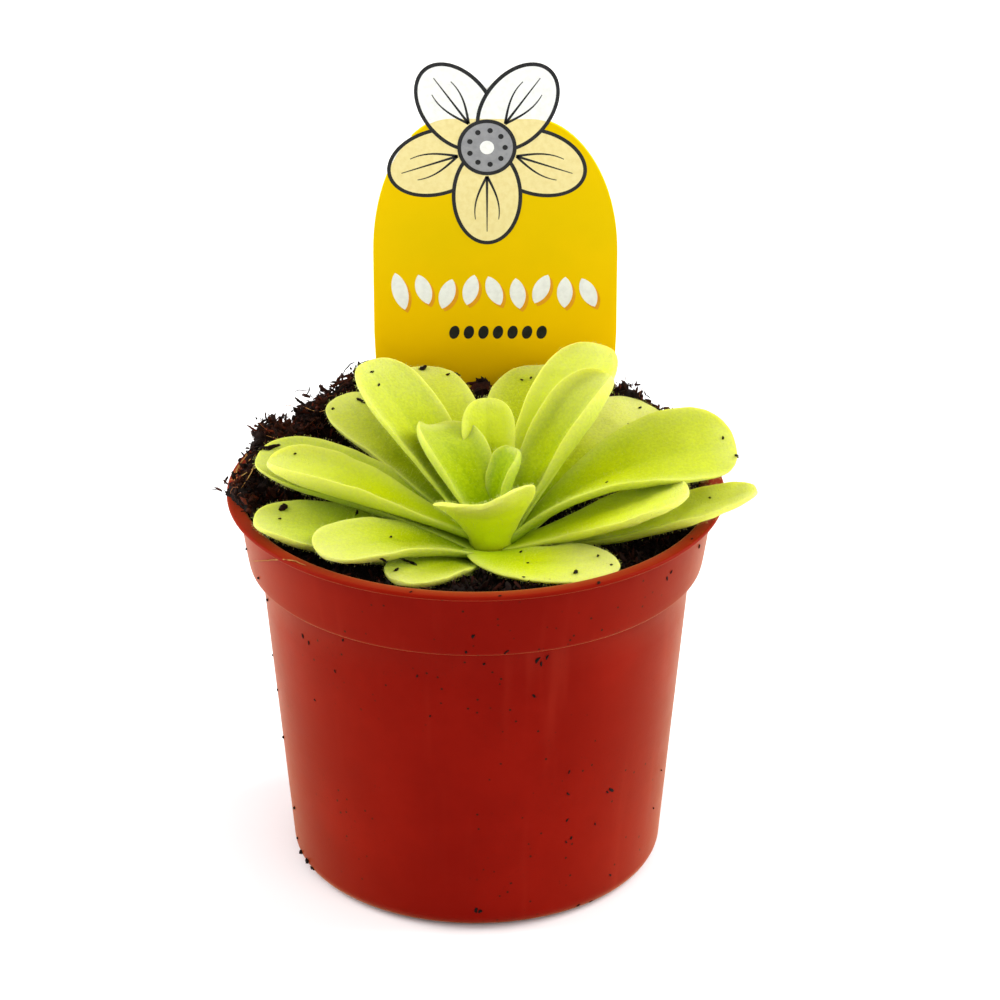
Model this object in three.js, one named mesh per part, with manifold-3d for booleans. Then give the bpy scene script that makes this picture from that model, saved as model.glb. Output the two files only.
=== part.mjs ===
// A butterwort in its nursery pot: a flat rosette of fleshy leaves round a short crown, set in a
// heaped bed of peat, with a plain arched plant label pushed in behind it.
// Millimetres, +Z up. The origin is the middle of the pot's foot, on the surface it stands on, and
// -Y is the front, the side that the label faces.
import * as THREE from "three";
import { mergeVertices } from "three/addons/utils/BufferGeometryUtils.js";
import Module from "manifold-3d";

const wasm = await Module();
wasm.setup();
const { Manifold, Mesh: ManifoldMesh } = wasm;

// ---------------------------------------------------------------- driving dimensions
const GAP = 0.3; // clearance between pieces that touch
const degrees = THREE.MathUtils.degToRad;

const POT = {
  height: 72.5,
  lipRadius: 45,
  lipThickness: 0.8,
  bandTopRadius: 43.2,
  bandFootRadius: 41.3,
  bandHeight: 13.3,
  bodyTopRadius: 39.1,
  footRadius: 34.2,
  footRounding: 3,
  wall: 1.2,
  floor: 3.2, // height of the floor's upper face
  // The underside stands on a middle pad and an outer ring, with the drain holes recessed between.
  padRadius: 13,
  recessDepth: 1.6,
  recessSlope: 1.5,
  footRingWidth: 3.5,
  drainHoles: 8,
  drainRadius: 2.5,
  drainCircle: 21,
  sides: 44,
};

const CROWN = {
  x: 3,
  y: -12,
  level: 66, // where the outer leaves leave the stem
  radius: 2.6,
  top: 70.6,
  bottom: 58,
  rootLength: 13,
  roots: 6,
  rootSplay: 10, // degrees from the vertical
  holeRadius: 3.8,
  holeBottom: 45.8,
};

const PEAT = {
  level: 65.4, // round the crown
  frontEdge: 68, // against the wall at the front
  // The heap along the back rim: [degrees counter-clockwise from +X, height].
  ridge: [
    [0, 68], [14, 70], [23, 80.5], [48, 81], [85, 77.5], [108, 78],
    [126, 82], [138, 81], [148, 78.5], [166, 79], [174, 73], [184, 70.5], [214, 68.5],
  ],
  ridgeRadius: 38,
  ridgeWidth: 4.2,
  wallTop: 65.8,
  lump: 0.8,
  rings: [41.4, 39.6, 37, 33.5, 28.5, 22, 15, 8],
  sides: 36,
};

const LABEL = {
  x: 3.5,
  y: 30.5,
  thickness: 1,
  width: 45,
  top: 132,
  archHeight: 26,
  archFlat: { left: 8, right: 6 }, // how far the straight top runs each way from the middle
  sidesFoot: 90, // the sides draw in below this
  waist: 70,
  waistWidth: 43.5,
  stakeWidth: 16,
  stakeTop: 62, // hidden in the peat, the plate narrows to its stake here
  tipTop: 30,
  bottom: 22,
};

// The flower printed on the label, whose upper petals are cut out above the arch.
const BLOOM = { x: -1.5, z: 126.5, petals: 5, reach: 19, petalWidth: 13, turn: 54 };

// ---------------------------------------------------------------- helpers
const between = ([from, to], share) => from + (to - from) * share;

function smoothstep(from, to, value) {
  const t = Math.min(1, Math.max(0, (value - from) / (to - from)));
  return t * t * (3 - 2 * t);
}

function solidOf(geometry) {
  const bare = geometry.index ? geometry.toNonIndexed() : geometry.clone();
  bare.deleteAttribute("normal");
  bare.deleteAttribute("uv");
  const merged = mergeVertices(bare, 1e-4);
  const solid = new Manifold(
    new ManifoldMesh({
      numProp: 3,
      vertProperties: new Float32Array(merged.attributes.position.array),
      triVerts: new Uint32Array(merged.index.array),
    }),
  );
  if (solid.volume() < 0) throw new Error("a solid is inside out");
  return solid;
}

function geometryOf(solid) {
  const mesh = solid.getMesh();
  const positions = new Float32Array(mesh.numVert * 3);
  for (let i = 0; i < mesh.numVert; i++) {
    positions.set(mesh.vertProperties.subarray(i * mesh.numProp, i * mesh.numProp + 3), i * 3);
  }
  return new THREE.BufferGeometry()
    .setAttribute("position", new THREE.BufferAttribute(positions, 3))
    .setIndex(new THREE.BufferAttribute(mesh.triVerts, 1));
}

const largest = (solid) =>
  solid.decompose().reduce((a, b) => (b.volume() > a.volume() ? b : a));

// A profile of [radius, height] pairs that starts and ends on the axis, or closes on itself.
function turned(profile, sides) {
  const points = profile.map(([r, z]) => new THREE.Vector2(r, z));
  return new THREE.LatheGeometry(points, sides).rotateX(Math.PI / 2);
}

function cylinder(radius, low, high, sides, x = 0, y = 0) {
  return new THREE.CylinderGeometry(radius, radius, high - low, sides)
    .rotateX(Math.PI / 2)
    .translate(x, y, (low + high) / 2);
}

// ---------------------------------------------------------------- pot
const bandFoot = POT.height - POT.bandHeight;
// The inner face: [radius, height] from the floor to the rim.
const potInside = [
  [POT.footRadius - POT.wall - 1, POT.floor],
  [POT.footRadius - POT.wall + 0.1, POT.floor + 2],
  [POT.bodyTopRadius - POT.wall, bandFoot],
  [POT.bandFootRadius - POT.wall, bandFoot + 1.6],
  [POT.bandTopRadius - POT.wall, POT.height],
];

function innerRadius(z) {
  for (let i = 1; i < potInside.length; i++) {
    const [r0, z0] = potInside[i - 1];
    const [r1, z1] = potInside[i];
    if (z <= z1) return r0 + ((r1 - r0) * (z - z0)) / (z1 - z0);
  }
  return potInside.at(-1)[0];
}

function makePot() {
  const rounding = [0, 30, 60, 90].map((a) => [
    POT.footRadius - POT.footRounding * (1 - Math.sin(degrees(a))),
    POT.footRounding * (1 - Math.cos(degrees(a))),
  ]);
  const ringInside = POT.footRadius - POT.footRounding - POT.footRingWidth;
  const outside = [
    [0, 0],
    [POT.padRadius, 0],
    [POT.padRadius + POT.recessSlope, POT.recessDepth],
    [ringInside, POT.recessDepth],
    [ringInside + POT.recessSlope, 0],
    ...rounding,
    [POT.bodyTopRadius, bandFoot - 0.4],
    [POT.bandFootRadius - 0.4, bandFoot],
    [POT.bandFootRadius, bandFoot + 0.5],
    [POT.bandTopRadius, POT.height - POT.lipThickness],
    [POT.lipRadius - 0.2, POT.height - POT.lipThickness],
    [POT.lipRadius, POT.height - POT.lipThickness + 0.2],
    [POT.lipRadius, POT.height - 0.3],
    [POT.lipRadius - 0.4, POT.height],
  ];
  const inside = [...potInside].reverse();
  let pot = solidOf(turned([...outside, ...inside, [0, POT.floor]], POT.sides));
  for (let i = 0; i < POT.drainHoles; i++) {
    const a = (2 * Math.PI * (i + 0.5)) / POT.drainHoles;
    const hole = cylinder(
      POT.drainRadius, -1, POT.floor + 1, 12,
      POT.drainCircle * Math.cos(a), POT.drainCircle * Math.sin(a),
    );
    pot = pot.subtract(solidOf(hole));
  }
  return pot;
}

// ---------------------------------------------------------------- leaves
const LEAF = {
  foot: 0.48, // width where it leaves the crown, as a share of its widest
  widest: 0.72, // where along it the leaf is widest
  tipPower: 2.3,
  footThickness: 1.5,
  thickness: 2.2,
  tipThinning: 0.55, // how much of the thickness is gone at the tip
  edgePower: 3.2, // how full the section stays towards its edges
  rows: [0, 0.12, 0.26, 0.42, 0.58, 0.7, 0.8, 0.88, 0.945, 0.985],
  across: [-1, -0.78, -0.4, 0, 0.4, 0.78, 1],
};

// Each leaf grows from the crown at an azimuth (counter-clockwise from +X). rise is its slope above
// the horizontal and trough the half angle of its cross-section, both in degrees from base to tip.
// roll leans it about its own midrib, bend turns it sideways, up and out move its base off the
// crown's level and axis, and foot overrides LEAF.foot. Youngest first: where their bases crowd, a
// leaf gives way to those before it.
function leaf(name, azimuth, length, width, rise, trough, more) {
  const usual = { roll: [0, 0], bend: 0, out: 3, foot: LEAF.foot };
  return { name, azimuth, length, width, rise, trough, ...usual, ...more };
}

const LEAVES = [
  leaf("leaf_heart_1", 31, 14, 8, [88, 57], [60, 30], { up: 5, out: 1 }),
  leaf("leaf_heart_2", 153, 21, 15, [66, 20], [60, 30], { roll: [-34, 20], bend: -30, up: 5, out: 1 }),
  leaf("leaf_heart_3", 94, 22, 11, [74, 60], [60, 30], { up: 2.6, out: 6 }),
  leaf("leaf_heart_4", 264, 20, 19, [76, 24], [60, 40], { roll: [4, 16], up: 0, out: 2 }),
  leaf("leaf_inner_1", 32, 33, 14, [54, 43], [50, 40], { up: 3.2 }),
  leaf("leaf_inner_2", 140, 37, 16, [47, 38], [50, 15], { up: 2.5 }),
  leaf("leaf_inner_3", 50, 40, 17, [47, 40], [50, 18], { roll: [-6, 0], bend: 3, up: 1 }),
  leaf("leaf_inner_4", 76, 41, 17, [36, 17], [50, 12], { roll: [0, -10], up: 0.5 }),
  leaf("leaf_inner_5", 112, 41, 16, [36, 14], [50, 12], { up: 1.5 }),
  leaf("leaf_middle_1", 8, 45, 21.3, [43, 0], [40, 11], { roll: [-21, 27], up: 0.8, foot: 0.3 }),
  leaf("leaf_middle_2", 177, 39.5, 14, [23, 15], [50, 20], { roll: [6, -4], bend: -7, up: 2, foot: 0.36 }),
  leaf("leaf_middle_3", 343.5, 36, 16, [21, 28.5], [40, 10], { roll: [0, 3], foot: 0.36, up: 0.2 }),
  leaf("leaf_middle_4", 132, 43, 14, [27, 15], [40, 8], { roll: [20, -12], up: -0.5 }),
  leaf("leaf_middle_5", 208, 34, 18, [27, 4], [40, 6], { bend: 14, up: -1 }),
  leaf("leaf_middle_6", 50, 45, 18, [25, 6], [40, 12], { roll: [0, 10], up: -0.5 }),
  leaf("leaf_outer_1", 163, 43, 17, [25, 10], [40, 12], { roll: [-3, -12], bend: 4, up: -0.3 }),
  leaf("leaf_outer_2", 356, 46, 13, [9, 24.5], [40, 10], { up: -0.5 }),
  leaf("leaf_outer_3", 190, 41, 18.5, [12, 17.5], [40, 6], { roll: [-26, 3], up: -2, foot: 0.7 }),
  leaf("leaf_outer_4", 236, 27, 13, [18, 12], [40, 6], { up: -2 }),
  leaf("leaf_outer_5", 278, 28, 16, [14, 6], [30, 4], { bend: 107, up: 0.4, out: 4, foot: 0.75 }),
];

function halfWidth(leaf, s) {
  const spread = Math.sin((Math.min(s / LEAF.widest, 1) * Math.PI) / 2) ** 1.7;
  const past = Math.max(0, (s - LEAF.widest) / (1 - LEAF.widest));
  const closing = (1 - past ** LEAF.tipPower) ** (1 / LEAF.tipPower);
  return (leaf.width / 2) * (leaf.foot + (1 - leaf.foot) * spread) * closing;
}

// The leaf's midrib point and its along, across and up directions at s, from 0 at the base to 1.
function leafFrame(leaf, s) {
  const { azimuth, length, rise, roll, bend, up, out } = leaf;
  const along = (t) => {
    const turn = degrees(azimuth + bend * t);
    const slope = degrees(between(rise, t));
    return new THREE.Vector3(
      Math.cos(slope) * Math.cos(turn), Math.cos(slope) * Math.sin(turn), Math.sin(slope),
    );
  };
  const start = degrees(azimuth);
  const point = new THREE.Vector3(
    CROWN.x + out * Math.cos(start), CROWN.y + out * Math.sin(start), CROWN.level + up,
  );
  const steps = 24;
  for (let i = 0; i < steps; i++) {
    point.addScaledVector(along((s * (i + 0.5)) / steps), (length * s) / steps);
  }
  const tangent = along(s);
  const turn = degrees(azimuth + bend * s);
  const side = new THREE.Vector3(-Math.sin(turn), Math.cos(turn), 0);
  const normal = new THREE.Vector3().crossVectors(tangent, side);
  const lean = degrees(between(roll, s));
  const across = side.clone().multiplyScalar(Math.cos(lean)).addScaledVector(normal, Math.sin(lean));
  const upward = normal.clone().multiplyScalar(Math.cos(lean)).addScaledVector(side, -Math.sin(lean));
  return { point, across, upward };
}

// One closed blade: rings of points round the section, a fan at the base and one at the tip.
function bladeGeometry(leaf, grow = 0) {
  const upper = LEAF.across.map((u) => [u, 1]);
  const lower = LEAF.across.slice(1, -1).reverse().map((u) => [u, -1]);
  const ring = [...upper, ...lower];
  const positions = [];
  for (const s of LEAF.rows) {
    const { point, across, upward } = leafFrame(leaf, s);
    const half = halfWidth(leaf, s) + grow;
    const fold = degrees(between(leaf.trough, s)) || 0.01;
    const body = between([LEAF.footThickness, LEAF.thickness], smoothstep(0, 0.4, s));
    const thickness = body * (1 - LEAF.tipThinning * Math.max(0, (s - 0.7) / 0.3) ** 2);
    for (const [u, face] of ring) {
      const swell = Math.sqrt(1 - Math.abs(u) ** LEAF.edgePower);
      const lift = face * (thickness / 2 + grow) * swell;
      const sideways = (half / fold - lift) * Math.sin(fold * u);
      const height = (half * (1 - Math.cos(fold * u))) / fold + lift * Math.cos(fold * u);
      const p = point.clone().addScaledVector(across, sideways).addScaledVector(upward, height);
      positions.push(p.x, p.y, p.z);
    }
  }
  const base = leafFrame(leaf, 0).point;
  const tip = leafFrame(leaf, 1).point;
  positions.push(base.x, base.y, base.z, tip.x, tip.y, tip.z);
  const count = ring.length;
  const last = (LEAF.rows.length - 1) * count;
  const foot = LEAF.rows.length * count;
  const faces = [];
  for (let j = 0; j < count; j++) {
    const k = (j + 1) % count;
    for (let i = 0; i < last; i += count) {
      faces.push(i + j, i + count + j, i + k, i + k, i + count + j, i + count + k);
    }
    faces.push(foot, j, k, foot + 1, last + k, last + j);
  }
  return new THREE.BufferGeometry()
    .setAttribute("position", new THREE.BufferAttribute(new Float32Array(positions), 3))
    .setIndex(faces);
}

function makeLeaves(crown) {
  const made = [];
  let taken = crown;
  for (const leaf of LEAVES) {
    const blade = solidOf(bladeGeometry(leaf));
    made.push({ leaf, solid: largest(blade.subtract(taken)) });
    taken = taken.add(solidOf(bladeGeometry(leaf, GAP)));
  }
  return { made, taken };
}

// ---------------------------------------------------------------- crown and roots
function crownProfile(grow) {
  return [
    [0, CROWN.bottom - grow],
    [1.6 + grow, CROWN.bottom - grow],
    [CROWN.radius + grow, CROWN.level - 3],
    [CROWN.radius + grow, CROWN.level + 1],
    [CROWN.radius * 0.75 + grow, CROWN.level + 3],
    [0.7 + grow, CROWN.top + grow],
    [0, CROWN.top + grow],
  ];
}

function makeCrown() {
  let crown = solidOf(turned(crownProfile(0), 12).translate(CROWN.x, CROWN.y, 0));
  for (let i = 0; i < CROWN.roots; i++) {
    const turn = (2 * Math.PI * i) / CROWN.roots;
    const root = new THREE.CylinderGeometry(0.7, 0.3, CROWN.rootLength, 6)
      .rotateX(Math.PI / 2)
      .translate(0, 0, -CROWN.rootLength / 2)
      .rotateY(degrees(-CROWN.rootSplay))
      .rotateZ(turn)
      .translate(CROWN.x + 0.8 * Math.cos(turn), CROWN.y + 0.8 * Math.sin(turn), CROWN.bottom + 1);
    crown = crown.add(solidOf(root));
  }
  return crown;
}

// ---------------------------------------------------------------- peat
function lumps(x, y) {
  return (
    Math.sin(0.31 * x + 1.3) * Math.cos(0.27 * y - 0.6) +
    0.6 * Math.sin(0.55 * x - 0.38 * y + 2.1) +
    0.4 * Math.cos(0.83 * y + 0.45 * x)
  );
}

function ridgeHeight(turn) {
  const angle = THREE.MathUtils.euclideanModulo(THREE.MathUtils.radToDeg(turn) + 90, 360) - 90;
  const { ridge } = PEAT;
  const next = ridge.findIndex(([a]) => a > angle);
  if (next < 1) return ridge[0][1];
  const [[a0, z0], [a1, z1]] = ridge.slice(next - 1, next + 1);
  return z0 + (z1 - z0) * smoothstep(a0, a1, angle);
}

function peatHeight(r, turn) {
  const edge = smoothstep(14, 40, r);
  const basin = PEAT.level + (PEAT.frontEdge - PEAT.level) * edge;
  const hump = Math.exp(-(((r - PEAT.ridgeRadius) / PEAT.ridgeWidth) ** 2) / 2);
  const inside = 1 - smoothstep(38, 43, r);
  const heap = Math.max(0, ridgeHeight(turn) - basin) * hump;
  return basin + heap + PEAT.lump * lumps(r * Math.cos(turn), r * Math.sin(turn)) * inside;
}

function makePeat(taken, labelSlot) {
  const { sides } = PEAT;
  const low = POT.floor + GAP;
  const clear = (z) => innerRadius(z) - GAP;
  const walls = [low, POT.floor + 2, bandFoot, bandFoot + 1.6, PEAT.wallTop];
  const positions = [];
  const add = (r, turn, z) => positions.push(r * Math.cos(turn), r * Math.sin(turn), z);
  const rows = [
    ...walls.map((z) => () => [clear(z), z]),
    ...PEAT.rings.map((r) => (turn) => {
      const z = Math.max(PEAT.wallTop + 0.6, peatHeight(r, turn));
      return [Math.min(r, clear(z)), z];
    }),
  ];
  for (const row of rows) {
    for (let j = 0; j < sides; j++) {
      const turn = (2 * Math.PI * j) / sides;
      const [r, z] = row(turn);
      add(r, turn, z);
    }
  }
  positions.push(0, 0, low, 0, 0, peatHeight(0, 0));
  const bottom = rows.length * sides;
  const faces = [];
  for (let j = 0; j < sides; j++) {
    const k = (j + 1) % sides;
    for (let i = 0; i < rows.length - 1; i++) {
      const a = i * sides;
      const b = a + sides;
      faces.push(a + j, a + k, b + j, a + k, b + k, b + j);
    }
    const top = (rows.length - 1) * sides;
    faces.push(bottom, k, j, bottom + 1, top + j, top + k);
  }
  const heap = new THREE.BufferGeometry()
    .setAttribute("position", new THREE.BufferAttribute(new Float32Array(positions), 3))
    .setIndex(faces);
  const rootHole = cylinder(CROWN.holeRadius, CROWN.holeBottom, POT.height, 16, CROWN.x, CROWN.y);
  return largest(solidOf(heap).subtract(solidOf(rootHole)).subtract(labelSlot).subtract(taken));
}

// ---------------------------------------------------------------- label
function labelOutline(grow) {
  const half = LABEL.width / 2 + grow;
  const waist = LABEL.waistWidth / 2 + grow;
  const stake = LABEL.stakeWidth / 2 + grow;
  const shape = new THREE.Shape();
  shape.moveTo(0, LABEL.bottom - grow);
  shape.lineTo(stake, LABEL.tipTop);
  shape.lineTo(stake, LABEL.stakeTop);
  shape.quadraticCurveTo(stake, LABEL.waist - 2, waist, LABEL.waist);
  shape.lineTo(half, LABEL.sidesFoot);
  const spring = LABEL.top - LABEL.archHeight;
  const { left, right } = LABEL.archFlat;
  const rise = LABEL.archHeight + grow;
  shape.lineTo(half, spring);
  shape.absellipse(right, spring, half - right, rise, 0, Math.PI / 2, false, 0);
  shape.absellipse(-left, spring, half - left, rise, Math.PI / 2, Math.PI, false, 0);
  shape.lineTo(-half, LABEL.sidesFoot);
  shape.lineTo(-waist, LABEL.waist);
  shape.quadraticCurveTo(-stake, LABEL.waist - 2, -stake, LABEL.stakeTop);
  shape.lineTo(-stake, LABEL.tipTop);
  shape.closePath();
  return shape;
}

function upright(shape, thickness) {
  const settings = { depth: thickness, bevelEnabled: false, curveSegments: 12 };
  return new THREE.ExtrudeGeometry(shape, settings)
    .translate(0, 0, -thickness / 2)
    .rotateX(Math.PI / 2)
    .translate(LABEL.x, LABEL.y, 0);
}

function makeLabel() {
  let label = solidOf(upright(labelOutline(0), LABEL.thickness));
  for (let i = 0; i < BLOOM.petals; i++) {
    const turn = degrees(BLOOM.turn) + (2 * Math.PI * i) / BLOOM.petals;
    const middle = BLOOM.reach / 2;
    const petal = new THREE.Shape().absellipse(
      BLOOM.x + middle * Math.cos(turn), BLOOM.z + middle * Math.sin(turn),
      middle, BLOOM.petalWidth / 2, 0, 2 * Math.PI, false, turn,
    );
    label = label.add(solidOf(upright(petal, LABEL.thickness)));
  }
  return label;
}

// ---------------------------------------------------------------- assembly
const materials = {
  pot: new THREE.MeshStandardMaterial({ color: 0x9c2412, roughness: 0.38, metalness: 0 }),
  peat: new THREE.MeshStandardMaterial({ color: 0x21120b, roughness: 1, metalness: 0 }),
  leaf: new THREE.MeshStandardMaterial({ color: 0xb4cf2a, roughness: 0.5, metalness: 0 }),
  stem: new THREE.MeshStandardMaterial({ color: 0x9fae4a, roughness: 0.6, metalness: 0 }),
  label: new THREE.MeshStandardMaterial({ color: 0xe6bd00, roughness: 0.4, metalness: 0 }),
};

const plant = new THREE.Group();
function addPiece(name, solid, material) {
  const mesh = new THREE.Mesh(geometryOf(solid), material);
  mesh.name = name;
  plant.add(mesh);
}

const crownRoom = solidOf(turned(crownProfile(GAP), 12).translate(CROWN.x, CROWN.y, 0));
const { made, taken } = makeLeaves(crownRoom);
const labelSlot = solidOf(upright(labelOutline(GAP), LABEL.thickness + 2 * GAP));

addPiece("pot", makePot(), materials.pot);
addPiece("peat", makePeat(taken, labelSlot), materials.peat);
addPiece("crown", makeCrown(), materials.stem);
addPiece("label", makeLabel(), materials.label);
for (const { leaf, solid } of made) addPiece(leaf.name, solid, materials.leaf);

export default plant;
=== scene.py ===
"""A butterwort rosette in a nursery pot of peat, with a plant label: the fine surfaces round the frame.

Metres, +Z up, in the frame's own place. Lengths given in millimetres are multiplied by MM.
"""

import math
from contextlib import contextmanager
from functools import reduce

import bmesh
import bpy
import numpy as np
from bpy.props import FloatProperty, FloatVectorProperty, IntProperty, PointerProperty
from mathutils import Matrix, Vector, noise
from mathutils.bvhtree import BVHTree


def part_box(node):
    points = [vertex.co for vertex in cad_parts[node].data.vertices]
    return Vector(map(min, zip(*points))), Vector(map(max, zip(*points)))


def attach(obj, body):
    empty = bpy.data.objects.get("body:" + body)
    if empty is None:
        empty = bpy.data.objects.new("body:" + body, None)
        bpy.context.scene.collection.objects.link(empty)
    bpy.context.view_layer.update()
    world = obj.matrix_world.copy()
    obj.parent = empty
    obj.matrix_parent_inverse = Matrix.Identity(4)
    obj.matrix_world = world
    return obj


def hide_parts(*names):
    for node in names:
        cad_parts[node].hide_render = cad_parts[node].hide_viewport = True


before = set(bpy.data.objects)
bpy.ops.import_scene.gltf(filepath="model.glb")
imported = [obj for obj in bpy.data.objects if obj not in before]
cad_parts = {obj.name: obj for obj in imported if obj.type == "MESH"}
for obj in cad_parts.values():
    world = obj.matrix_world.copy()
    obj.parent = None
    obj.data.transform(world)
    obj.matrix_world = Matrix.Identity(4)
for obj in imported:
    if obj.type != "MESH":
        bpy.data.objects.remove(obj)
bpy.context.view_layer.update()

bl_info = {
    "name": "Potted Butterwort",
    "version": (1, 0, 0),
    "blender": (4, 5, 0),
    "location": "View3D > Sidebar > Butterwort",
    "description": "Builds a butterwort rosette in a nursery pot of peat, with a plant label",
    "category": "Add Mesh",
}

MM = 0.001
UP = Vector((0, 0, 1))
TO_FRONT = Vector((0, -1, 0))

# ---------------------------------------------------------------- sizes shared with the solids
POT_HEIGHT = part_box("pot")[1].z
BAND_FOOT = POT_HEIGHT - 13.3 * MM
BODY_TOP_RADIUS = 39.1 * MM
FOOT_RADIUS = 34.2 * MM
FOOT_ROUNDING = 3 * MM
FOOT_RING_WIDTH = 3.5 * MM
FOOT_EDGE = 0.2 * MM
PAD_RADIUS = 13 * MM
RECESS_DEPTH = 1.6 * MM
RECESS_SLOPE = 1.5 * MM
# The rest of the pot's section, (radius, height) in millimetres: from the band's foot, from the pot's
# top and from its foot.
BAND_FOOT_SECTION = (
    (39.25, -0.22), (39.6, -0.06), (40.6, 0.0), (41.0, 0.12), (41.25, 0.35), (41.34, 0.7), (41.6, 2.2),
)
LIP_SECTION = (
    (42.9, -2.4), (43.15, -1.3), (43.3, -0.95), (43.6, -0.82), (44.4, -0.8), (44.8, -0.74), (44.96, -0.6),
    (45.0, -0.4), (44.93, -0.2), (44.74, -0.05), (44.5, 0.0), (42.7, -0.04), (42.4, -0.14), (42.1, -0.4),
    (41.7, -2.0),
)
INSIDE_SECTION = ((40.1, 60.8), (39.8, 60.1), (37.9, 59.2), (33.1, 5.2), (32.7, 3.9), (32, 3.2), (0, 3.2))
DRAIN_HOLES = 8
DRAIN_RADIUS = 2.5 * MM
DRAIN_CIRCLE = 21 * MM
DRILL_SIDES = 24

CROWN = Vector((3 * MM, -12 * MM, 66 * MM))
ROOT_HOLE_RADIUS = 3.8 * MM
STUB_ROOTS = 6
STEM_SECTION = (
    (0, 58), (1.6, 58.3), (2.1, 60), (2.35, 63), (2.6, 66), (2.45, 68.4), (1.8, 70), (0.9, 70.5), (0, 70.6),
)

WALL_HEIGHTS = np.array((3.2, 5.2, 59.2, 60.8, 72.5)) * MM
WALL_RADII = np.array((32, 33.1, 37.9, 40.1, 42)) * MM
PEAT_LEVEL = 65.4 * MM
PEAT_FRONT = 68 * MM
# The heap along the back rim: (degrees counter-clockwise from +X, height in millimetres).
PEAT_RIDGE = (
    (0, 68), (14, 70), (23, 80.5), (48, 81), (85, 77.5), (108, 78),
    (126, 82), (138, 81), (148, 78.5), (166, 79), (174, 73), (184, 70.5), (214, 68.5),
)
RIDGE_RADIUS = 38 * MM
# On the left the heap leans out, and in places it sinks in: (at degrees, over degrees, by).
RIDGE_BULGE = (164, 11, 2.2 * MM)
RIDGE_DENTS = ((150, 6, 3.6 * MM), (134, 10, 2.6 * MM), (50, 6, 2.6 * MM))
RIDGE_WIDTH = 4.2 * MM

LABEL_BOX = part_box("label")
LABEL_THICKNESS = LABEL_BOX[1].y - LABEL_BOX[0].y
LABEL_X = 3.5 * MM
LABEL_Y = (LABEL_BOX[0].y + LABEL_BOX[1].y) / 2
LABEL_WIDTH = 45 * MM
LABEL_TOP = 132 * MM
ARCH_HEIGHT = 26 * MM
ARCH_FLAT_LEFT = 8 * MM
ARCH_FLAT_RIGHT = 6 * MM
SHOULDER = 90 * MM
STAKE_TIP = 22 * MM
STAKE_HALF = 8 * MM
WAIST_HALF = 21.75 * MM
FLARE = (62 * MM, 68 * MM, 70 * MM)  # heights of the control points of the curve in which the stake widens
BLOOM = (-1.5 * MM, 126.5 * MM)
PETALS = 5
PETAL_REACH = 19 * MM
PETAL_WIDTH = 13 * MM
BLOOM_TURN = 54  # degrees from the label's width to the first petal
VEIN_SHARES = [step / 12 for step in range(13)]
INK_STEP = 0.01 * MM
INK_ROOT = 0.05 * MM  # how far each prism of ink reaches into the card


class Leaf:
    """One leaf's growth: the same values as its solid, and what only its surface needs.

    length, width, up and out are in millimetres. rise, trough and roll are degrees from base to tip,
    and curl is how far its margins roll up, as a share of its half width. tone turns its green to the
    olive of a shaded leaf, young to the deep green of the rosette's heart, lit paints light on it, the
    bright green glow of a leaf the light shines through, and pale whitens it towards its tip; each is
    a share, 0 to 1.
    """

    def __init__(self, name, azimuth, length, width, rise, trough, roll=(0, 0), bend=0, up=0, out=3,
                 foot=0.48, curl=0.10, tone=0.0, young=0.0, lit=0.0, pale=0.4):
        self.name, self.azimuth, self.bend = name, azimuth, bend
        self.length, self.width, self.up, self.out = length * MM, width * MM, up * MM, out * MM
        self.rise, self.trough, self.roll = rise, trough, roll
        self.foot, self.curl, self.pale = foot, curl, pale
        self.shares = {"tone": tone, "young": young, "lit": lit}


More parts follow.
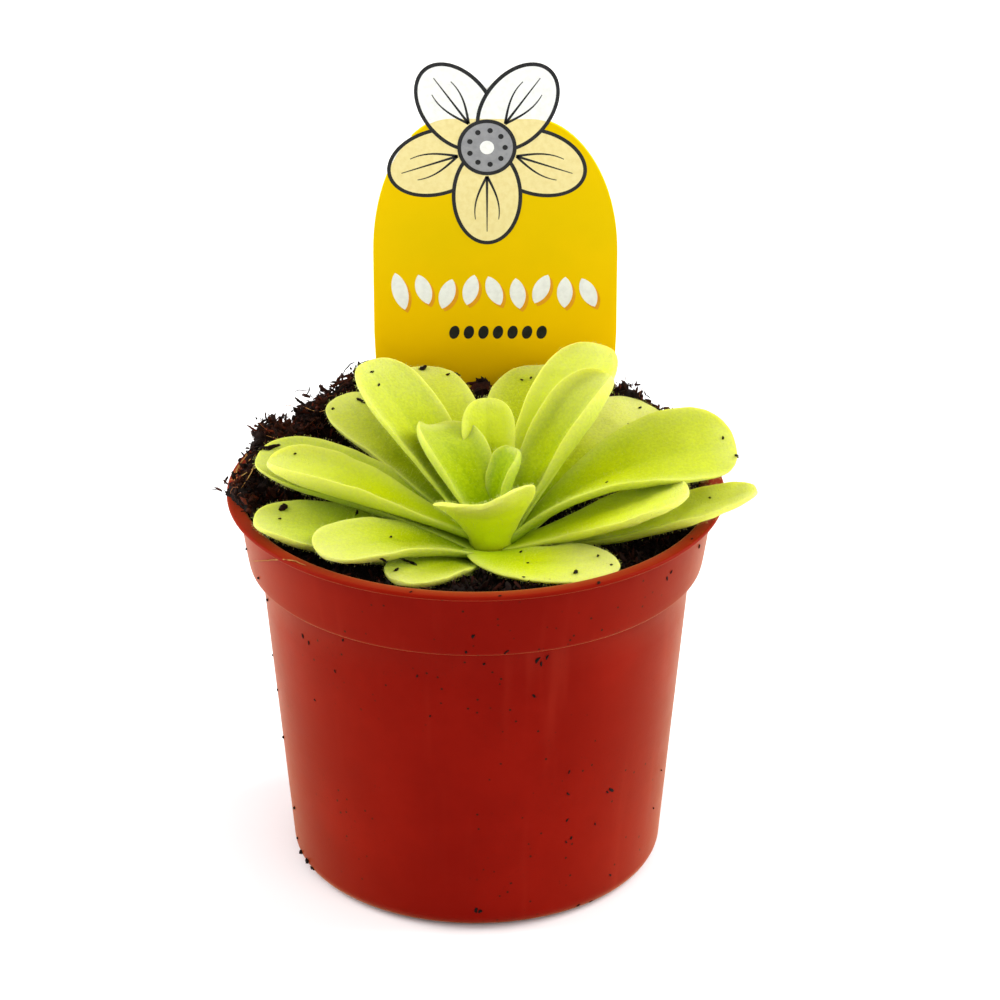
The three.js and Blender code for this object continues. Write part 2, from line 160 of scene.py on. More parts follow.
LEAVES = (
    Leaf("leaf_heart_1", 31, 14, 8, (88, 57), (60, 30), up=5, out=1, curl=0.2, young=0.9, pale=0.1),
    Leaf("leaf_heart_2", 153, 21, 15, (66, 20), (60, 30), (-34, 20), -30, up=5, out=1, curl=0.16, young=0.5,
         pale=0.3),
    Leaf("leaf_heart_3", 94, 22, 11, (74, 60), (60, 30), up=2.6, out=6, lit=0.6, pale=0.3),
    Leaf("leaf_heart_4", 264, 20, 19, (76, 24), (60, 40), (4, 16), out=2, curl=-0.1, lit=0.85, pale=0.5),
    Leaf("leaf_inner_1", 32, 33, 14, (54, 43), (50, 40), up=3.2, curl=0.26, pale=0.6),
    Leaf("leaf_inner_2", 140, 37, 16, (47, 38), (50, 15), up=2.5, pale=0.5),
    Leaf("leaf_inner_3", 50, 40, 17, (47, 40), (50, 18), (-6, 0), 3, up=1, lit=0.5, pale=0.6),
    Leaf("leaf_inner_4", 76, 41, 17, (36, 17), (50, 12), (0, -10), up=0.5, tone=0.6, young=0.4, pale=0.1),
    Leaf("leaf_inner_5", 112, 41, 16, (36, 14), (50, 12), up=1.5, tone=0.3),
    Leaf("leaf_middle_1", 8, 45, 21.3, (43, 0), (40, 11), (-21, 27), up=0.8, foot=0.3, lit=0.1, pale=0.25),
    Leaf("leaf_middle_2", 177, 39.5, 14, (23, 15), (50, 20), (6, -4), -7, up=2, foot=0.36, curl=0.24, lit=0.4,
         pale=0.6),
    Leaf("leaf_middle_3", 343.5, 36, 16, (21, 28.5), (40, 10), (0, 3), up=0.2, foot=0.36, lit=0.6),
    Leaf("leaf_middle_4", 132, 43, 14, (27, 15), (40, 8), (20, -12), up=-0.5, tone=0.5, young=0.5),
    Leaf("leaf_middle_5", 208, 34, 18, (27, 4), (40, 6), bend=14, up=-1, pale=0.6),
    Leaf("leaf_middle_6", 50, 45, 18, (25, 6), (40, 12), (0, 10), up=-0.5, tone=0.6, pale=1.0),
    Leaf("leaf_outer_1", 163, 43, 17, (25, 10), (40, 12), (-3, -12), 4, up=-0.3, young=0.2, pale=0.3),
    Leaf("leaf_outer_2", 356, 46, 13, (9, 24.5), (40, 10), up=-0.5, lit=1.0, pale=0.6),
    Leaf("leaf_outer_3", 190, 41, 18.5, (12, 17.5), (40, 6), (-26, 3), up=-2, foot=0.7, young=0.3, pale=0.4),
    Leaf("leaf_outer_4", 236, 27, 13, (18, 12), (40, 6), up=-2, lit=0.2, pale=0.5),
    Leaf("leaf_outer_5", 278, 28, 16, (14, 6), (30, 4), bend=107, up=0.4, out=4, foot=0.75, curl=0.0, lit=0.2,
         pale=0.9),
)
WIDEST = 0.72  # where along a leaf it is widest
TIP_POWER = 2.3
FOOT_THICKNESS = 1.5 * MM
LEAF_THICKNESS = 2.0 * MM
TIP_THINNING = 0.55
EDGE_POWER = 2.2

FRAME = 1000  # the camera's frame is as many pixels wide and high
FOCAL = 4000.0  # pixels
CAMERA_AT = Vector((4.37 * MM, -654.93 * MM, 379.03 * MM))
CAMERA_TILT = math.radians(64.72)
FLOOR_HALF = 6.0
FLOOR_LEVEL = -0.0001
TINT_SALT = 90
WANDER_SEED = 7

# (x, y) in the camera's frame, length, width and thickness in millimetres, and its turn in degrees.
LEAF_LITTER = (
    (271, 448, 3.4, 0.7, 0.4, 170), (284, 508, 2.2, 1.3, 0.9, 30), (284, 506, 1.4, 0.8, 0.7, 90),
    (409, 562, 3.6, 0.8, 0.4, 100), (397, 570, 1.9, 0.6, 0.3, 20), (383, 560, 1.8, 0.5, 0.3, 100),
    (576, 572, 1.8, 0.8, 0.3, 40), (521, 552, 0.8, 0.5, 0.3, 10), (542, 582, 0.8, 0.4, 0.3, 70),
    (550, 580, 0.7, 0.4, 0.2, 120), (528, 563, 0.6, 0.4, 0.2, 0), (524, 578, 0.9, 0.5, 0.3, 80),
    (598, 556, 0.7, 0.4, 0.3, 40), (611, 565, 0.6, 0.4, 0.3, 150), (652, 514, 0.7, 0.5, 0.3, 30),
    (710, 498, 0.6, 0.4, 0.3, 60), (607, 483, 0.7, 0.5, 0.3, 0), (522, 380, 0.7, 0.4, 0.3, 90),
    (361, 401, 2.0, 0.7, 0.5, 100), (372, 372, 1.1, 0.4, 0.3, 0), (379, 385, 0.7, 0.4, 0.3, 40),
    (333, 409, 0.7, 0.5, 0.3, 10), (736, 456, 1.9, 0.6, 0.5, 95), (723, 438, 0.7, 0.4, 0.3, 40),
    (629, 425, 0.9, 0.4, 0.3, 60), (357, 513, 1.3, 0.5, 0.4, 40), (391, 537, 0.9, 0.4, 0.3, 20),
    (280, 519, 0.7, 0.4, 0.3, 0), (295, 454, 0.6, 0.4, 0.3, 0), (423, 369, 1.5, 0.9, 0.7, 0),
    (453, 375, 2.6, 0.8, 0.6, 150), (640, 408, 0.9, 0.4, 0.3, 0), (531, 378, 0.6, 0.4, 0.3, 0),
)
POT_LITTER = (
    (599, 583, 0.9, 0.5, 0.3, 30), (667, 578, 1.0, 0.4, 0.2, 80), (671, 572, 0.7, 0.4, 0.2, 0),
    (699, 546, 0.9, 0.5, 0.3, 60), (692, 539, 0.6, 0.4, 0.2, 0), (537, 660, 1.3, 0.5, 0.2, 10),
    (541, 664, 1.0, 0.4, 0.2, 50), (304, 861, 1.9, 0.9, 0.7, 90), (309, 868, 1.0, 0.6, 0.5, 20),
    (281, 737, 0.7, 0.5, 0.4, 90), (480, 911, 0.9, 0.6, 0.3, 0), (607, 792, 0.7, 0.3, 0.2, 90),
    (343, 640, 0.6, 0.3, 0.2, 40), (430, 716, 0.5, 0.3, 0.2, 10), (566, 842, 0.6, 0.3, 0.2, 70),
    (303, 636, 0.9, 0.5, 0.2, 130), (309, 643, 0.8, 0.3, 0.2, 120), (473, 636, 0.9, 0.5, 0.2, 20),
    (466, 652, 0.6, 0.4, 0.2, 60), (484, 664, 0.6, 0.4, 0.2, 0), (506, 652, 1.1, 0.3, 0.2, 0),
    (534, 696, 0.9, 0.4, 0.2, 80), (569, 772, 0.7, 0.3, 0.2, 30), (568, 794, 0.8, 0.3, 0.2, 90),
    (611, 790, 1.5, 0.5, 0.2, 95), (567, 820, 0.7, 0.3, 0.2, 10), (595, 824, 0.6, 0.3, 0.2, 60),
    (571, 838, 0.7, 0.4, 0.2, 40), (578, 905, 0.7, 0.4, 0.3, 0), (591, 901, 0.6, 0.3, 0.2, 50),
    (610, 875, 0.8, 0.3, 0.2, 90), (417, 676, 0.6, 0.3, 0.2, 30), (476, 910, 1.2, 0.5, 0.3, 30),
    (295, 808, 0.8, 0.6, 0.5, 90), (298, 838, 0.7, 0.5, 0.4, 80), (302, 852, 1.3, 0.8, 0.6, 70),
    (273, 655, 0.7, 0.4, 0.3, 80), (276, 690, 0.6, 0.4, 0.3, 90), (315, 700, 0.5, 0.3, 0.2, 20),
    (335, 671, 0.6, 0.3, 0.2, 60), (653, 808, 0.6, 0.3, 0.3, 90), (661, 770, 0.6, 0.3, 0.3, 90),
    (547, 657, 0.9, 0.4, 0.2, 15), (411, 592, 0.8, 0.3, 0.2, 10), (500, 596, 0.7, 0.3, 0.2, 160),
    (247, 549, 0.9, 0.4, 0.4, 80), (259, 578, 0.8, 0.4, 0.4, 90), (268, 600, 1.0, 0.5, 0.4, 80),
)
# A strand's points in the camera's frame, its radius in millimetres, and the depth it hangs at in
# millimetres from the pot's axis, or what it lies on.
STRANDS = (
    (((256, 452), (262, 450), (270, 448), (277, 446)), 0.36, "leaves"),
    (((244, 455), (250, 450), (257, 447), (264, 446)), 0.13, 4),
    (((247, 459), (252, 455), (258, 453)), 0.16, 3),
    (((294, 392), (299, 390), (304, 390), (311, 390)), 0.10, 17),
    (((305, 397), (309, 391), (310, 386)), 0.12, 18),
    (((343, 374), (347, 368), (350, 364), (355, 362)), 0.13, 26),
    (((352, 372), (358, 364), (366, 361), (374, 360)), 0.09, 28),
    (((228, 481), (233, 486), (238, 488), (244, 488)), 0.16, 6),
    (((231, 472), (236, 478), (238, 486)), 0.12, 8),
    (((240, 500), (247, 508), (254, 514)), 0.14, -4),
)
ROOT_STRANDS = (
    (((252, 561), (262, 560.4), (272, 559.7), (284, 559.6), (296, 562), (306, 566)), 0.12, "pot"),
    (((230, 478), (236, 468), (245, 459), (257, 452)), 0.10, "peat"),
    (((232, 470), (241, 467), (251, 461), (258, 455)), 0.09, "peat"),
    (((236, 487), (241, 474), (246, 464), (250, 455)), 0.10, "peat"),
    (((233, 484), (243, 481), (254, 474), (262, 466)), 0.08, "peat"),
    (((243, 492), (248, 480), (256, 470), (261, 460)), 0.09, "peat"),
    (((266, 438), (273, 441), (282, 441), (291, 437)), 0.08, "peat"),
    (((308, 410), (314, 413), (320, 414), (326, 411)), 0.08, "peat"),
)
# The clod in front of the label: like the litter, in a plane this far in front of the label.
CLOD_AHEAD = 2.6 * MM
CLOD = (
    (481, 390, 4.3, 3.6, 3.2, 70), (474, 383, 2.9, 0.9, 0.8, 150), (485, 381, 1.9, 1.1, 0.9, 80),
    (489, 388, 1.6, 1.1, 0.9, 30), (479, 380, 1.4, 0.8, 0.7, 110),
)


# ---------------------------------------------------------------- helpers
def smoothstep(low, high, value):
    t = np.clip((value - low) / (high - low), 0.0, 1.0)
    return t * t * (3 - 2 * t)


def bell(value, middle, width):
    return np.exp(-(((value - middle) / width) ** 2))


def between(pair, share):
    return pair[0] + (pair[1] - pair[0]) * share


def srgb(red, green, blue):
    """A colour given as 0 to 255, in the linear values that materials take."""
    linear = (((c / 255 + 0.055) / 1.055) ** 2.4 if c > 10 else c / 3295 for c in (red, green, blue))
    return (*linear, 1.0)


def circle_turns(count):
    return [2 * math.pi * i / count for i in range(count)]


def polar(radius, turn, height=0.0, axis=(0.0, 0.0)):
    """The point at a radius and a turn round an upright axis."""
    return Vector((axis[0] + radius * math.cos(turn), axis[1] + radius * math.sin(turn), height))


def rotated(points, turn, middle):
    """(x, z) points turned about the origin, then moved to a middle."""
    c, s = math.cos(turn), math.sin(turn)
    return [(middle[0] + x * c - z * s, middle[1] + x * s + z * c) for x, z in points]


def wander(at):
    """A vector that changes smoothly from place to place, and is the same in every run."""
    noise.seed_set(WANDER_SEED)
    return noise.noise_vector(at)


def placed(name, data):
    """A new object in the scene that holds the data."""
    item = bpy.data.objects.new(name, data)
    bpy.context.scene.collection.objects.link(item)
    return item


@contextmanager
def editing(mesh):
    """The mesh opened for editing, and written back at the end."""
    work = bmesh.new()
    work.from_mesh(mesh)
    yield work
    work.to_mesh(mesh)
    work.free()


def mesh_object(name, points, faces, smooth=True, closed=True):
    """A mesh in the scene; the faces of a closed one are turned outwards."""
    mesh = bpy.data.meshes.new(name)
    mesh.from_pydata([tuple(p) for p in points], [], [tuple(f) for f in faces])
    mesh.validate()
    mesh.shade_smooth() if smooth else mesh.shade_flat()
    if closed:
        with editing(mesh) as work:
            bmesh.ops.recalc_face_normals(work, faces=work.faces)
    return placed(name, mesh)


def store(item, name, values):
    """Writes one number for each point of a mesh, under a name that materials and nodes read."""
    layer = item.data.attributes.new(name, "FLOAT", "POINT")
    layer.data.foreach_set("value", np.asarray(values, np.float32))


def neighbours(count):
    """Each place round a ring, with the next one."""
    return [(j, (j + 1) % count) for j in range(count)]


def ring_faces(rings, sides):
    """Quads between rings of points."""
    return [(start + j, start + k, start + sides + k, start + sides + j)
            for start in range(0, (rings - 1) * sides, sides) for j, k in neighbours(sides)]


def prism_faces(count, start=0):
    """The faces between two outlines that follow each other, count points each."""
    sides = [(start + j, start + k, start + count + k, start + count + j) for j, k in neighbours(count)]
    return [tuple(range(start, start + count)), tuple(range(start + count, start + 2 * count)), *sides]


def ringed_object(name, rings, ends):
    """A closed skin over rings of points, fanned to an end point at either end."""
    sides = len(rings[0])
    foot = len(rings) * sides
    faces = ring_faces(len(rings), sides)
    for j, k in neighbours(sides):
        faces += [(foot, k, j), (foot + 1, foot - sides + j, foot - sides + k)]
    return mesh_object(name, [*(p for ring in rings for p in ring), *ends], faces)


def turned_object(name, profile, sides):
    """A closed turning from (radius, height) points that start and end on the axis."""
    turns = circle_turns(sides)
    rings = [[polar(radius, turn, height) for turn in turns] for radius, height in profile[1:-1]]
    return ringed_object(name, rings, [(0, 0, profile[0][1]), (0, 0, profile[-1][1])])


def apply_modifiers(item):
    """Makes what the modifiers give the object's own mesh, and removes them."""
    bpy.context.view_layer.update()
    graph = bpy.context.evaluated_depsgraph_get()
    whole = item.evaluated_get(graph)
    made = bpy.data.meshes.new_from_object(whole, preserve_all_data_layers=True, depsgraph=graph)
    old = item.data
    item.modifiers.clear()
    item.data = made
    made.name = item.name
    bpy.data.meshes.remove(old)


def drill(item, radius, low, high, places):
    """Takes an upright round hole out of the item at each of the places."""
    drills = []
    for at in places:
        cutter = turned_object("drill", [(0, low), (radius, low), (radius, high), (0, high)], DRILL_SIDES)
        cutter.location = (at[0], at[1], 0)
        modifier = item.modifiers.new("cut", "BOOLEAN")
        modifier.object = cutter
        modifier.operation = "DIFFERENCE"
        modifier.solver = "EXACT"
        drills.append(cutter)
    apply_modifiers(item)
    for cutter in drills:
        bpy.data.objects.remove(cutter)


def finish_piece(item, node=None, material=None):
    """Hands a finished piece to the frame: it rides on the pot's body and may stand for a node."""
    if material is not None:
        item.data.materials.clear()
        item.data.materials.append(material)
    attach(item, "root")
    if node:
        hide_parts(node)


def tree_of(*items):
    """One search tree over the faces of several objects."""
    points, faces = [], []
    for item in items:
        start = len(points)
        points += [v.co for v in item.data.vertices]
        faces += [[start + k for k in p.vertices] for p in item.data.polygons]
    return BVHTree.FromPolygons(points, faces)


def leaf_tree(left_out=None):
    """One search tree over the solids of the leaves."""
    return tree_of(*(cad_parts[leaf.name] for leaf in LEAVES if leaf is not left_out))


def weed(item, unwanted):
    """Deletes each scattered copy that has a point which unwanted() says is out of place.

    The points of one copy follow each other and share one "tint".
    """
    mesh = item.data
    tint = np.empty(len(mesh.vertices), np.float32)
    mesh.attributes["tint"].data.foreach_get("value", tint)
    copy = np.concatenate([[0], np.cumsum(np.diff(tint) != 0)])
    doomed = np.zeros(copy[-1] + 1, bool)
    doomed[copy[np.array([unwanted(v.co) for v in mesh.vertices])]] = True
    with editing(mesh) as work:
        bmesh.ops.delete(work, geom=[v for v, gone in zip(work.verts, doomed[copy]) if gone], context="VERTS")
    return item


def join(name, items):
    """One object with the meshes of several, their materials kept."""
    work = bmesh.new()
    materials = []
    for item in items:
        start = len(work.faces)
        work.from_mesh(item.data)
        work.faces.ensure_lookup_table()
        own = list(item.data.materials)
        for face in work.faces[start:] if own else ():
            material = own[face.material_index]
            if material not in materials:
                materials.append(material)
            face.material_index = materials.index(material)
        bpy.data.objects.remove(item)
    mesh = bpy.data.meshes.new(name)
    work.to_mesh(mesh)
    work.free()
    for material in materials:
        mesh.materials.append(material)
    return placed(name, mesh)


# ---------------------------------------------------------------- node trees
class Wiring:
    """A node tree being built: add() makes a node, sets it and wires its inputs."""

    def __init__(self, tree):
        self.tree = tree

    def add(self, kind, inputs=None, **settings):
        node = self.tree.nodes.new(kind)
        for key, value in settings.items():
            setattr(node, key, value)
        for key, value in (inputs or {}).items():
            self.feed(node.inputs[key], value)
        return node

    def out(self, kind, inputs=None, **settings):
        """The first output of a new node."""
        return self.add(kind, inputs, **settings).outputs[0]

    def feed(self, socket, value):
        if isinstance(value, bpy.types.NodeSocket):
            self.tree.links.new(value, socket)
        else:
            socket.default_value = value

    def math(self, operation, *values, clamp=False):
        return self.out("ShaderNodeMath", dict(enumerate(values)), operation=operation, use_clamp=clamp)

    def times(self, *values):
        return reduce(lambda first, second: self.math("MULTIPLY", first, second), values)

    def vector_math(self, operation, inputs):
        return self.out("ShaderNodeVectorMath", inputs, operation=operation)

    def blend(self, share, first, second, most=1):
        """A mix of two colours; a share of 1 gives as much of the second as most says."""
        if most != 1:
            share = self.times(share, most)
        return self.add("ShaderNodeMix", {0: share, 6: first, 7: second}, data_type="RGBA").outputs[2]

    def ramp(self, value, low, high):
        """0 where value is at low, 1 where it is at high, smooth between."""
        inputs = {"Value": value, "From Min": low, "From Max": high}
        return self.out("ShaderNodeMapRange", inputs, interpolation_type="SMOOTHSTEP")

    def spread(self, value, low, high):
        """A value of 0 to 1, spread evenly from low to high."""
        return self.out("ShaderNodeMapRange", {"Value": value, "To Min": low, "To Max": high})


class Surface(Wiring):
    """A material being built round one Principled shader."""

    def __init__(self, name, **sockets):
        self.material = bpy.data.materials.new(name)
        self.material.use_nodes = True
        super().__init__(self.material.node_tree)
        self.shader = self.tree.nodes["Principled BSDF"]
        for key, value in sockets.items():
            self.shader.inputs[key.replace("_", " ")].default_value = value
        self.place = self.add("ShaderNodeTexCoord").outputs["Object"]

    def noise(self, scale, detail=3.0, roughness=0.55, stretch=None, place=None):
        place = place or self.place
        if stretch:
            place = self.vector_math("MULTIPLY", {0: place, 1: stretch})
        inputs = {"Vector": place, "Scale": scale, "Detail": detail, "Roughness": roughness}
        return self.add("ShaderNodeTexNoise", inputs).outputs["Fac"]

    def spots(self, scale):
        """Distance from the nearest of many scattered points."""
        return self.add("ShaderNodeTexVoronoi", {"Vector": self.place, "Scale": scale}).outputs["Distance"]

    def attribute(self, name):
        return self.add("ShaderNodeAttribute", attribute_name=name).outputs["Fac"]

    def climb(self, low, high):
        """0 at the one height, 1 at the other, smooth between."""
        return self.ramp(self.add("ShaderNodeSeparateXYZ", {0: self.place}).outputs["Z"], low, high)

    def colour(self, value):
        self.feed(self.shader.inputs["Base Color"], value)

    def rough(self, value):
        self.feed(self.shader.inputs["Roughness"], value)

    def bump(self, height, distance, strength):
        """Adds a bump to those that the shader has."""
        inputs = {"Height": height, "Distance": distance, "Strength": strength}
        normal = self.shader.inputs["Normal"]
        if normal.links:
            inputs["Normal"] = normal.links[0].from_socket
        self.feed(normal, self.out("ShaderNodeBump", inputs))


class Scatter(Wiring):
    """A Geometry Nodes tree that places copies of one shape over a carrier's faces.

    Its numbers start with "Density", the copies for each square metre.
    """

    def __init__(self, name, *numbers):
        super().__init__(bpy.data.node_groups.new(name, "GeometryNodeTree"))
        self.numbers = numbers
        self.sockets = {}
        kinds = {"Carrier": "Geometry", **dict.fromkeys(numbers, "Float")}
        kinds.update({"Seed": "Int", "Material": "Material"})
        for key, kind in kinds.items():
            socket = self.tree.interface.new_socket(key, in_out="INPUT", socket_type="NodeSocket" + kind)
            self.sockets[key] = socket.identifier
        self.tree.interface.new_socket("Geometry", in_out="OUTPUT", socket_type="NodeSocketGeometry")
        self.given = self.tree.nodes.new("NodeGroupInput").outputs

    def random(self, low, high, salt):
        """A random number for each point or copy; salt keeps two draws apart."""
        seed = self.math("ADD", self.given["Seed"], float(salt))
        node = self.add("FunctionNodeRandomValue", {2: low, 3: high, "Seed": seed}, data_type="FLOAT")
        return node.outputs[1]

    def sized(self, smallest, largest, power):
        """A random size for each copy between two given numbers; a high power makes most small."""
        draw = self.math("POWER", self.random(0.0, 1.0, 1), power)
        span = self.math("SUBTRACT", self.given[largest], self.given[smallest])
        return self.math("MULTIPLY_ADD", draw, span, self.given[smallest])

    def points(self):
        """Points over the carrier, as dense as the carrier's own "cover" says times Density."""
        cover = self.out("GeometryNodeInputNamedAttribute", {"Name": "cover"}, data_type="FLOAT")
        density = self.times(cover, self.given["Density"])
        inputs = {"Mesh": self.given["Carrier"], "Density": density, "Seed": self.given["Seed"]}
        return self.add("GeometryNodeDistributePointsOnFaces", inputs).outputs

    def turn(self, rotation, x, y, z):
        euler = self.out("ShaderNodeCombineXYZ", {0: x, 1: y, 2: z})
        by = self.out("FunctionNodeEulerToRotation", {0: euler})
        return self.out("FunctionNodeRotateRotation", {0: rotation, 1: by}, rotation_space="LOCAL")

    def joined(self, *parts):
        node = self.add("GeometryNodeJoinGeometry")
        for part in parts:
            self.tree.links.new(part, node.inputs[0])
        return node.outputs[0]

    def copies(self, points, shape, rotation, scale):
        """A copy of the shape at each point, each with its own "tint"."""
        inputs = {"Points": points, "Instance": shape, "Rotation": rotation, "Scale": scale}
        made = self.out("GeometryNodeInstanceOnPoints", inputs)
        inputs = {"Geometry": made, "Name": "tint", "Value": self.random(0.0, 1.0, TINT_SALT)}
        return self.out("GeometryNodeStoreNamedAttribute", inputs, data_type="FLOAT", domain="INSTANCE")

    def roughen(self, geometry, scale, amount):
        """Moves each point by a noise of its place, so that no two copies are alike."""
        inputs = {"Vector": self.out("GeometryNodeInputPosition"), "Scale": scale, "Detail": 1.0}
        wander = self.add("ShaderNodeTexNoise", inputs).outputs["Color"]
        centred = self.vector_math("SUBTRACT", {0: wander, 1: (0.5, 0.5, 0.5)})
        offset = self.vector_math("SCALE", {0: centred, "Scale": amount})
        return self.out("GeometryNodeSetPosition", {"Geometry": geometry, "Offset": offset})

    def close(self, copies, rough=None, smooth=True, keep_carrier=False):
        """Ends the tree with real copies; rough is the scale and the reach that roughen them."""
        made = self.out("GeometryNodeRealizeInstances", {0: copies})
        if rough:
            made = self.roughen(made, *rough)
        made = self.out("GeometryNodeSetShadeSmooth", {"Geometry": made, "Shade Smooth": smooth})
        made = self.out("GeometryNodeSetMaterial", {"Geometry": made, "Material": self.given["Material"]})
        if keep_carrier:
            made = self.joined(made, self.given["Carrier"])
        self.add("NodeGroupOutput", {0: made})

    def grow(self, name, carrier, material, seed, density, *numbers):
        """Runs the tree on a copy of the carrier and returns the result as a plain mesh object.

        density is in copies for each square millimetre, and the tree's other numbers follow it.
        """
        item = placed(name, carrier.data.copy())
        modifier = item.modifiers.new(name, "NODES")
        modifier.node_group = self.tree
        for key, value in zip(self.numbers, (density / MM**2, *numbers)):
            modifier[self.sockets[key]] = float(value)
        modifier[self.sockets["Seed"]] = seed
        modifier[self.sockets["Material"]] = material
        apply_modifiers(item)
        return item


def crumb_scatter():
    """Crumbs: lumps of random size and squash, half sunk in what carries them."""
    tree = Scatter("crumbs", "Density", "Smallest", "Largest", "Slimness", "Detail", "Lift")
    spread = tree.points()
    lift = tree.times(tree.math("POWER", tree.random(0.0, 1.0, 5), 1.5), tree.given["Lift"])
    offset = tree.vector_math("SCALE", {0: spread["Normal"], "Scale": lift})
    raised = tree.out("GeometryNodeSetPosition", {"Geometry": spread["Points"], "Offset": offset})
    lump = tree.out("GeometryNodeMeshIcoSphere", {"Radius": 0.5, "Subdivisions": tree.given["Detail"]})
    size = tree.sized("Smallest", "Largest", 2.5)
    stout = tree.math("SUBTRACT", 1.0, tree.given["Slimness"])
    squash = [tree.times(size, stout, tree.random(low, 1.0, salt)) for low, salt in ((0.5, 15), (0.4, 14))]
    scale = tree.out("ShaderNodeCombineXYZ", dict(enumerate([size, *squash])))
    rotation = tree.turn(spread["Rotation"], *(tree.random(-math.pi, math.pi, 20 + i) for i in range(3)))
    tree.close(tree.copies(raised, lump, rotation, scale), (1500.0, 0.95 * MM), smooth=False)
    return tree


def fibre_scatter():
    """Fibres: thin kinked strands lying on the carrier, one end lifted."""
    tree = Scatter("fibres", "Density", "Shortest", "Longest", "Slenderness")
    spread = tree.points()
    inputs = {"Resolution": 7, "Start": (0, 0, 0), "Middle": (0.5, 0.2, 0.28), "End": (1, -0.1, 0.18)}
    strand = tree.out("GeometryNodeCurveQuadraticBezier", inputs)
    inputs = {"Resolution": 3, "Radius": tree.given["Slenderness"]}
    section = tree.out("GeometryNodeCurvePrimitiveCircle", inputs)
    inputs = {"Curve": strand, "Profile Curve": section, "Fill Caps": True}
    shape = tree.out("GeometryNodeCurveToMesh", inputs)
    rotation = tree.turn(spread["Rotation"], 0.0, 0.0, tree.random(-math.pi, math.pi, 30))
    rotation = tree.turn(rotation, 0.0, tree.random(-0.75, 0.15, 31), 0.0)
    length = tree.sized("Shortest", "Longest", 1.6)
    tree.close(tree.copies(spread["Points"], shape, rotation, length), (500.0, 1.1 * MM))
    return tree


def gland_scatter():
    """Gland hairs: a thin stalk with a drop of glue on its end, standing off the leaf."""
    tree = Scatter("gland hairs", "Density", "Length", "Drop")
    spread = tree.points()
    inputs = {"Vertices": 3, "Radius Top": 0.02, "Radius Bottom": 0.036, "Depth": 1.0}
    stalk = tree.out("GeometryNodeMeshCone", inputs, fill_type="NONE")
    radius = tree.times(tree.math("DIVIDE", tree.given["Drop"], tree.given["Length"]), 0.5)
    drop = tree.out("GeometryNodeMeshUVSphere", {"Segments": 4, "Rings": 2, "Radius": radius})
    raised = tree.out("GeometryNodeTransform", {"Geometry": drop, "Translation": (0, 0, 1)})
    rotation = tree.turn(spread["Rotation"], *(tree.random(-0.4, 0.4, 20 + i) for i in range(2)), 0.0)
    length = tree.times(tree.given["Length"], tree.random(0.6, 1.3, 3))
    tree.close(tree.copies(spread["Points"], tree.joined(stalk, raised), rotation, length), keep_carrier=True)
    return tree


# ---------------------------------------------------------------- pot
def pot_profile():
    """The pot's section, from the axis at its foot, up the outside, over the lip and down the inside."""
    ring = FOOT_RADIUS - FOOT_ROUNDING - FOOT_RING_WIDTH
    profile = [(0, 0), (PAD_RADIUS - FOOT_EDGE, 0), (PAD_RADIUS, FOOT_EDGE),
               (PAD_RADIUS + RECESS_SLOPE, RECESS_DEPTH), (ring, RECESS_DEPTH),
               (ring + RECESS_SLOPE, FOOT_EDGE), (ring + RECESS_SLOPE + FOOT_EDGE, 0)]
    for i in range(9):
        turn = math.pi / 2 * i / 8
        profile.append((FOOT_RADIUS - FOOT_ROUNDING * (1 - math.sin(turn)),
                        FOOT_ROUNDING * (1 - math.cos(turn))))
    for i in range(1, 9):
        profile.append((between((FOOT_RADIUS, BODY_TOP_RADIUS), i / 8),
                        between((FOOT_ROUNDING, BAND_FOOT - 0.5 * MM), i / 8)))
    for level, section in ((BAND_FOOT, BAND_FOOT_SECTION), (POT_HEIGHT, LIP_SECTION), (0, INSIDE_SECTION)):
        profile += [(r * MM, level + z * MM) for r, z in section]
    return profile


def pot_plastic(settings):
    """Satin moulded polypropylene: faint flow lines, fine scuffs and a film of dried dust, and a painted glow
    of light through the thin lip.
    """
    s = Surface("pot_plastic", IOR=1.08,
                Subsurface_Weight=0.12, Subsurface_Radius=(1.0, 0.1, 0.04), Subsurface_Scale=1.2 * MM,
                Sheen_Weight=0.34, Sheen_Roughness=0.35, Sheen_Tint=(1, 0.55, 0.16, 1))
    streaks = s.ramp(s.noise(150, 3, 0.6, stretch=(1, 1, 0.06)), 0.55, 0.8)
    dust = s.ramp(s.noise(2600, 2, 0.7), 0.60, 0.72)
    grime = s.times(dust, s.ramp(s.noise(70, 3, 0.65), 0.5, 0.68), 0.55)
    specks = s.times(s.ramp(s.spots(420), 0.12, 0.07), s.ramp(s.noise(33, 2), 0.44, 0.56))
    tone = s.blend(s.ramp(s.noise(42, 4, 0.6), 0.35, 0.7), settings.plastic, settings.worn)
    tone = s.blend(streaks, tone, srgb(176, 60, 40), 0.12)
    tone = s.blend(grime, tone, srgb(70, 22, 14))
    # Painted light: the top of the lip turns lighter and more orange, as light shining through the thin
    # plastic.
    tone = s.blend(s.climb(POT_HEIGHT - 0.6 * MM, POT_HEIGHT - 0.1 * MM), tone, settings.lip, 0.7)
    s.colour(s.blend(specks, tone, srgb(52, 18, 10)))
    s.rough(s.math("ADD", s.spread(s.noise(210, 3, 0.7), 0.27, 0.43), s.times(grime, 0.4)))
    s.bump(s.noise(420, 2, 0.5, stretch=(0.03, 0.03, 1)), 0.03 * MM, 0.5)
    s.bump(s.noise(1800, 2, 0.6), 0.012 * MM, 0.6)
    return s.material


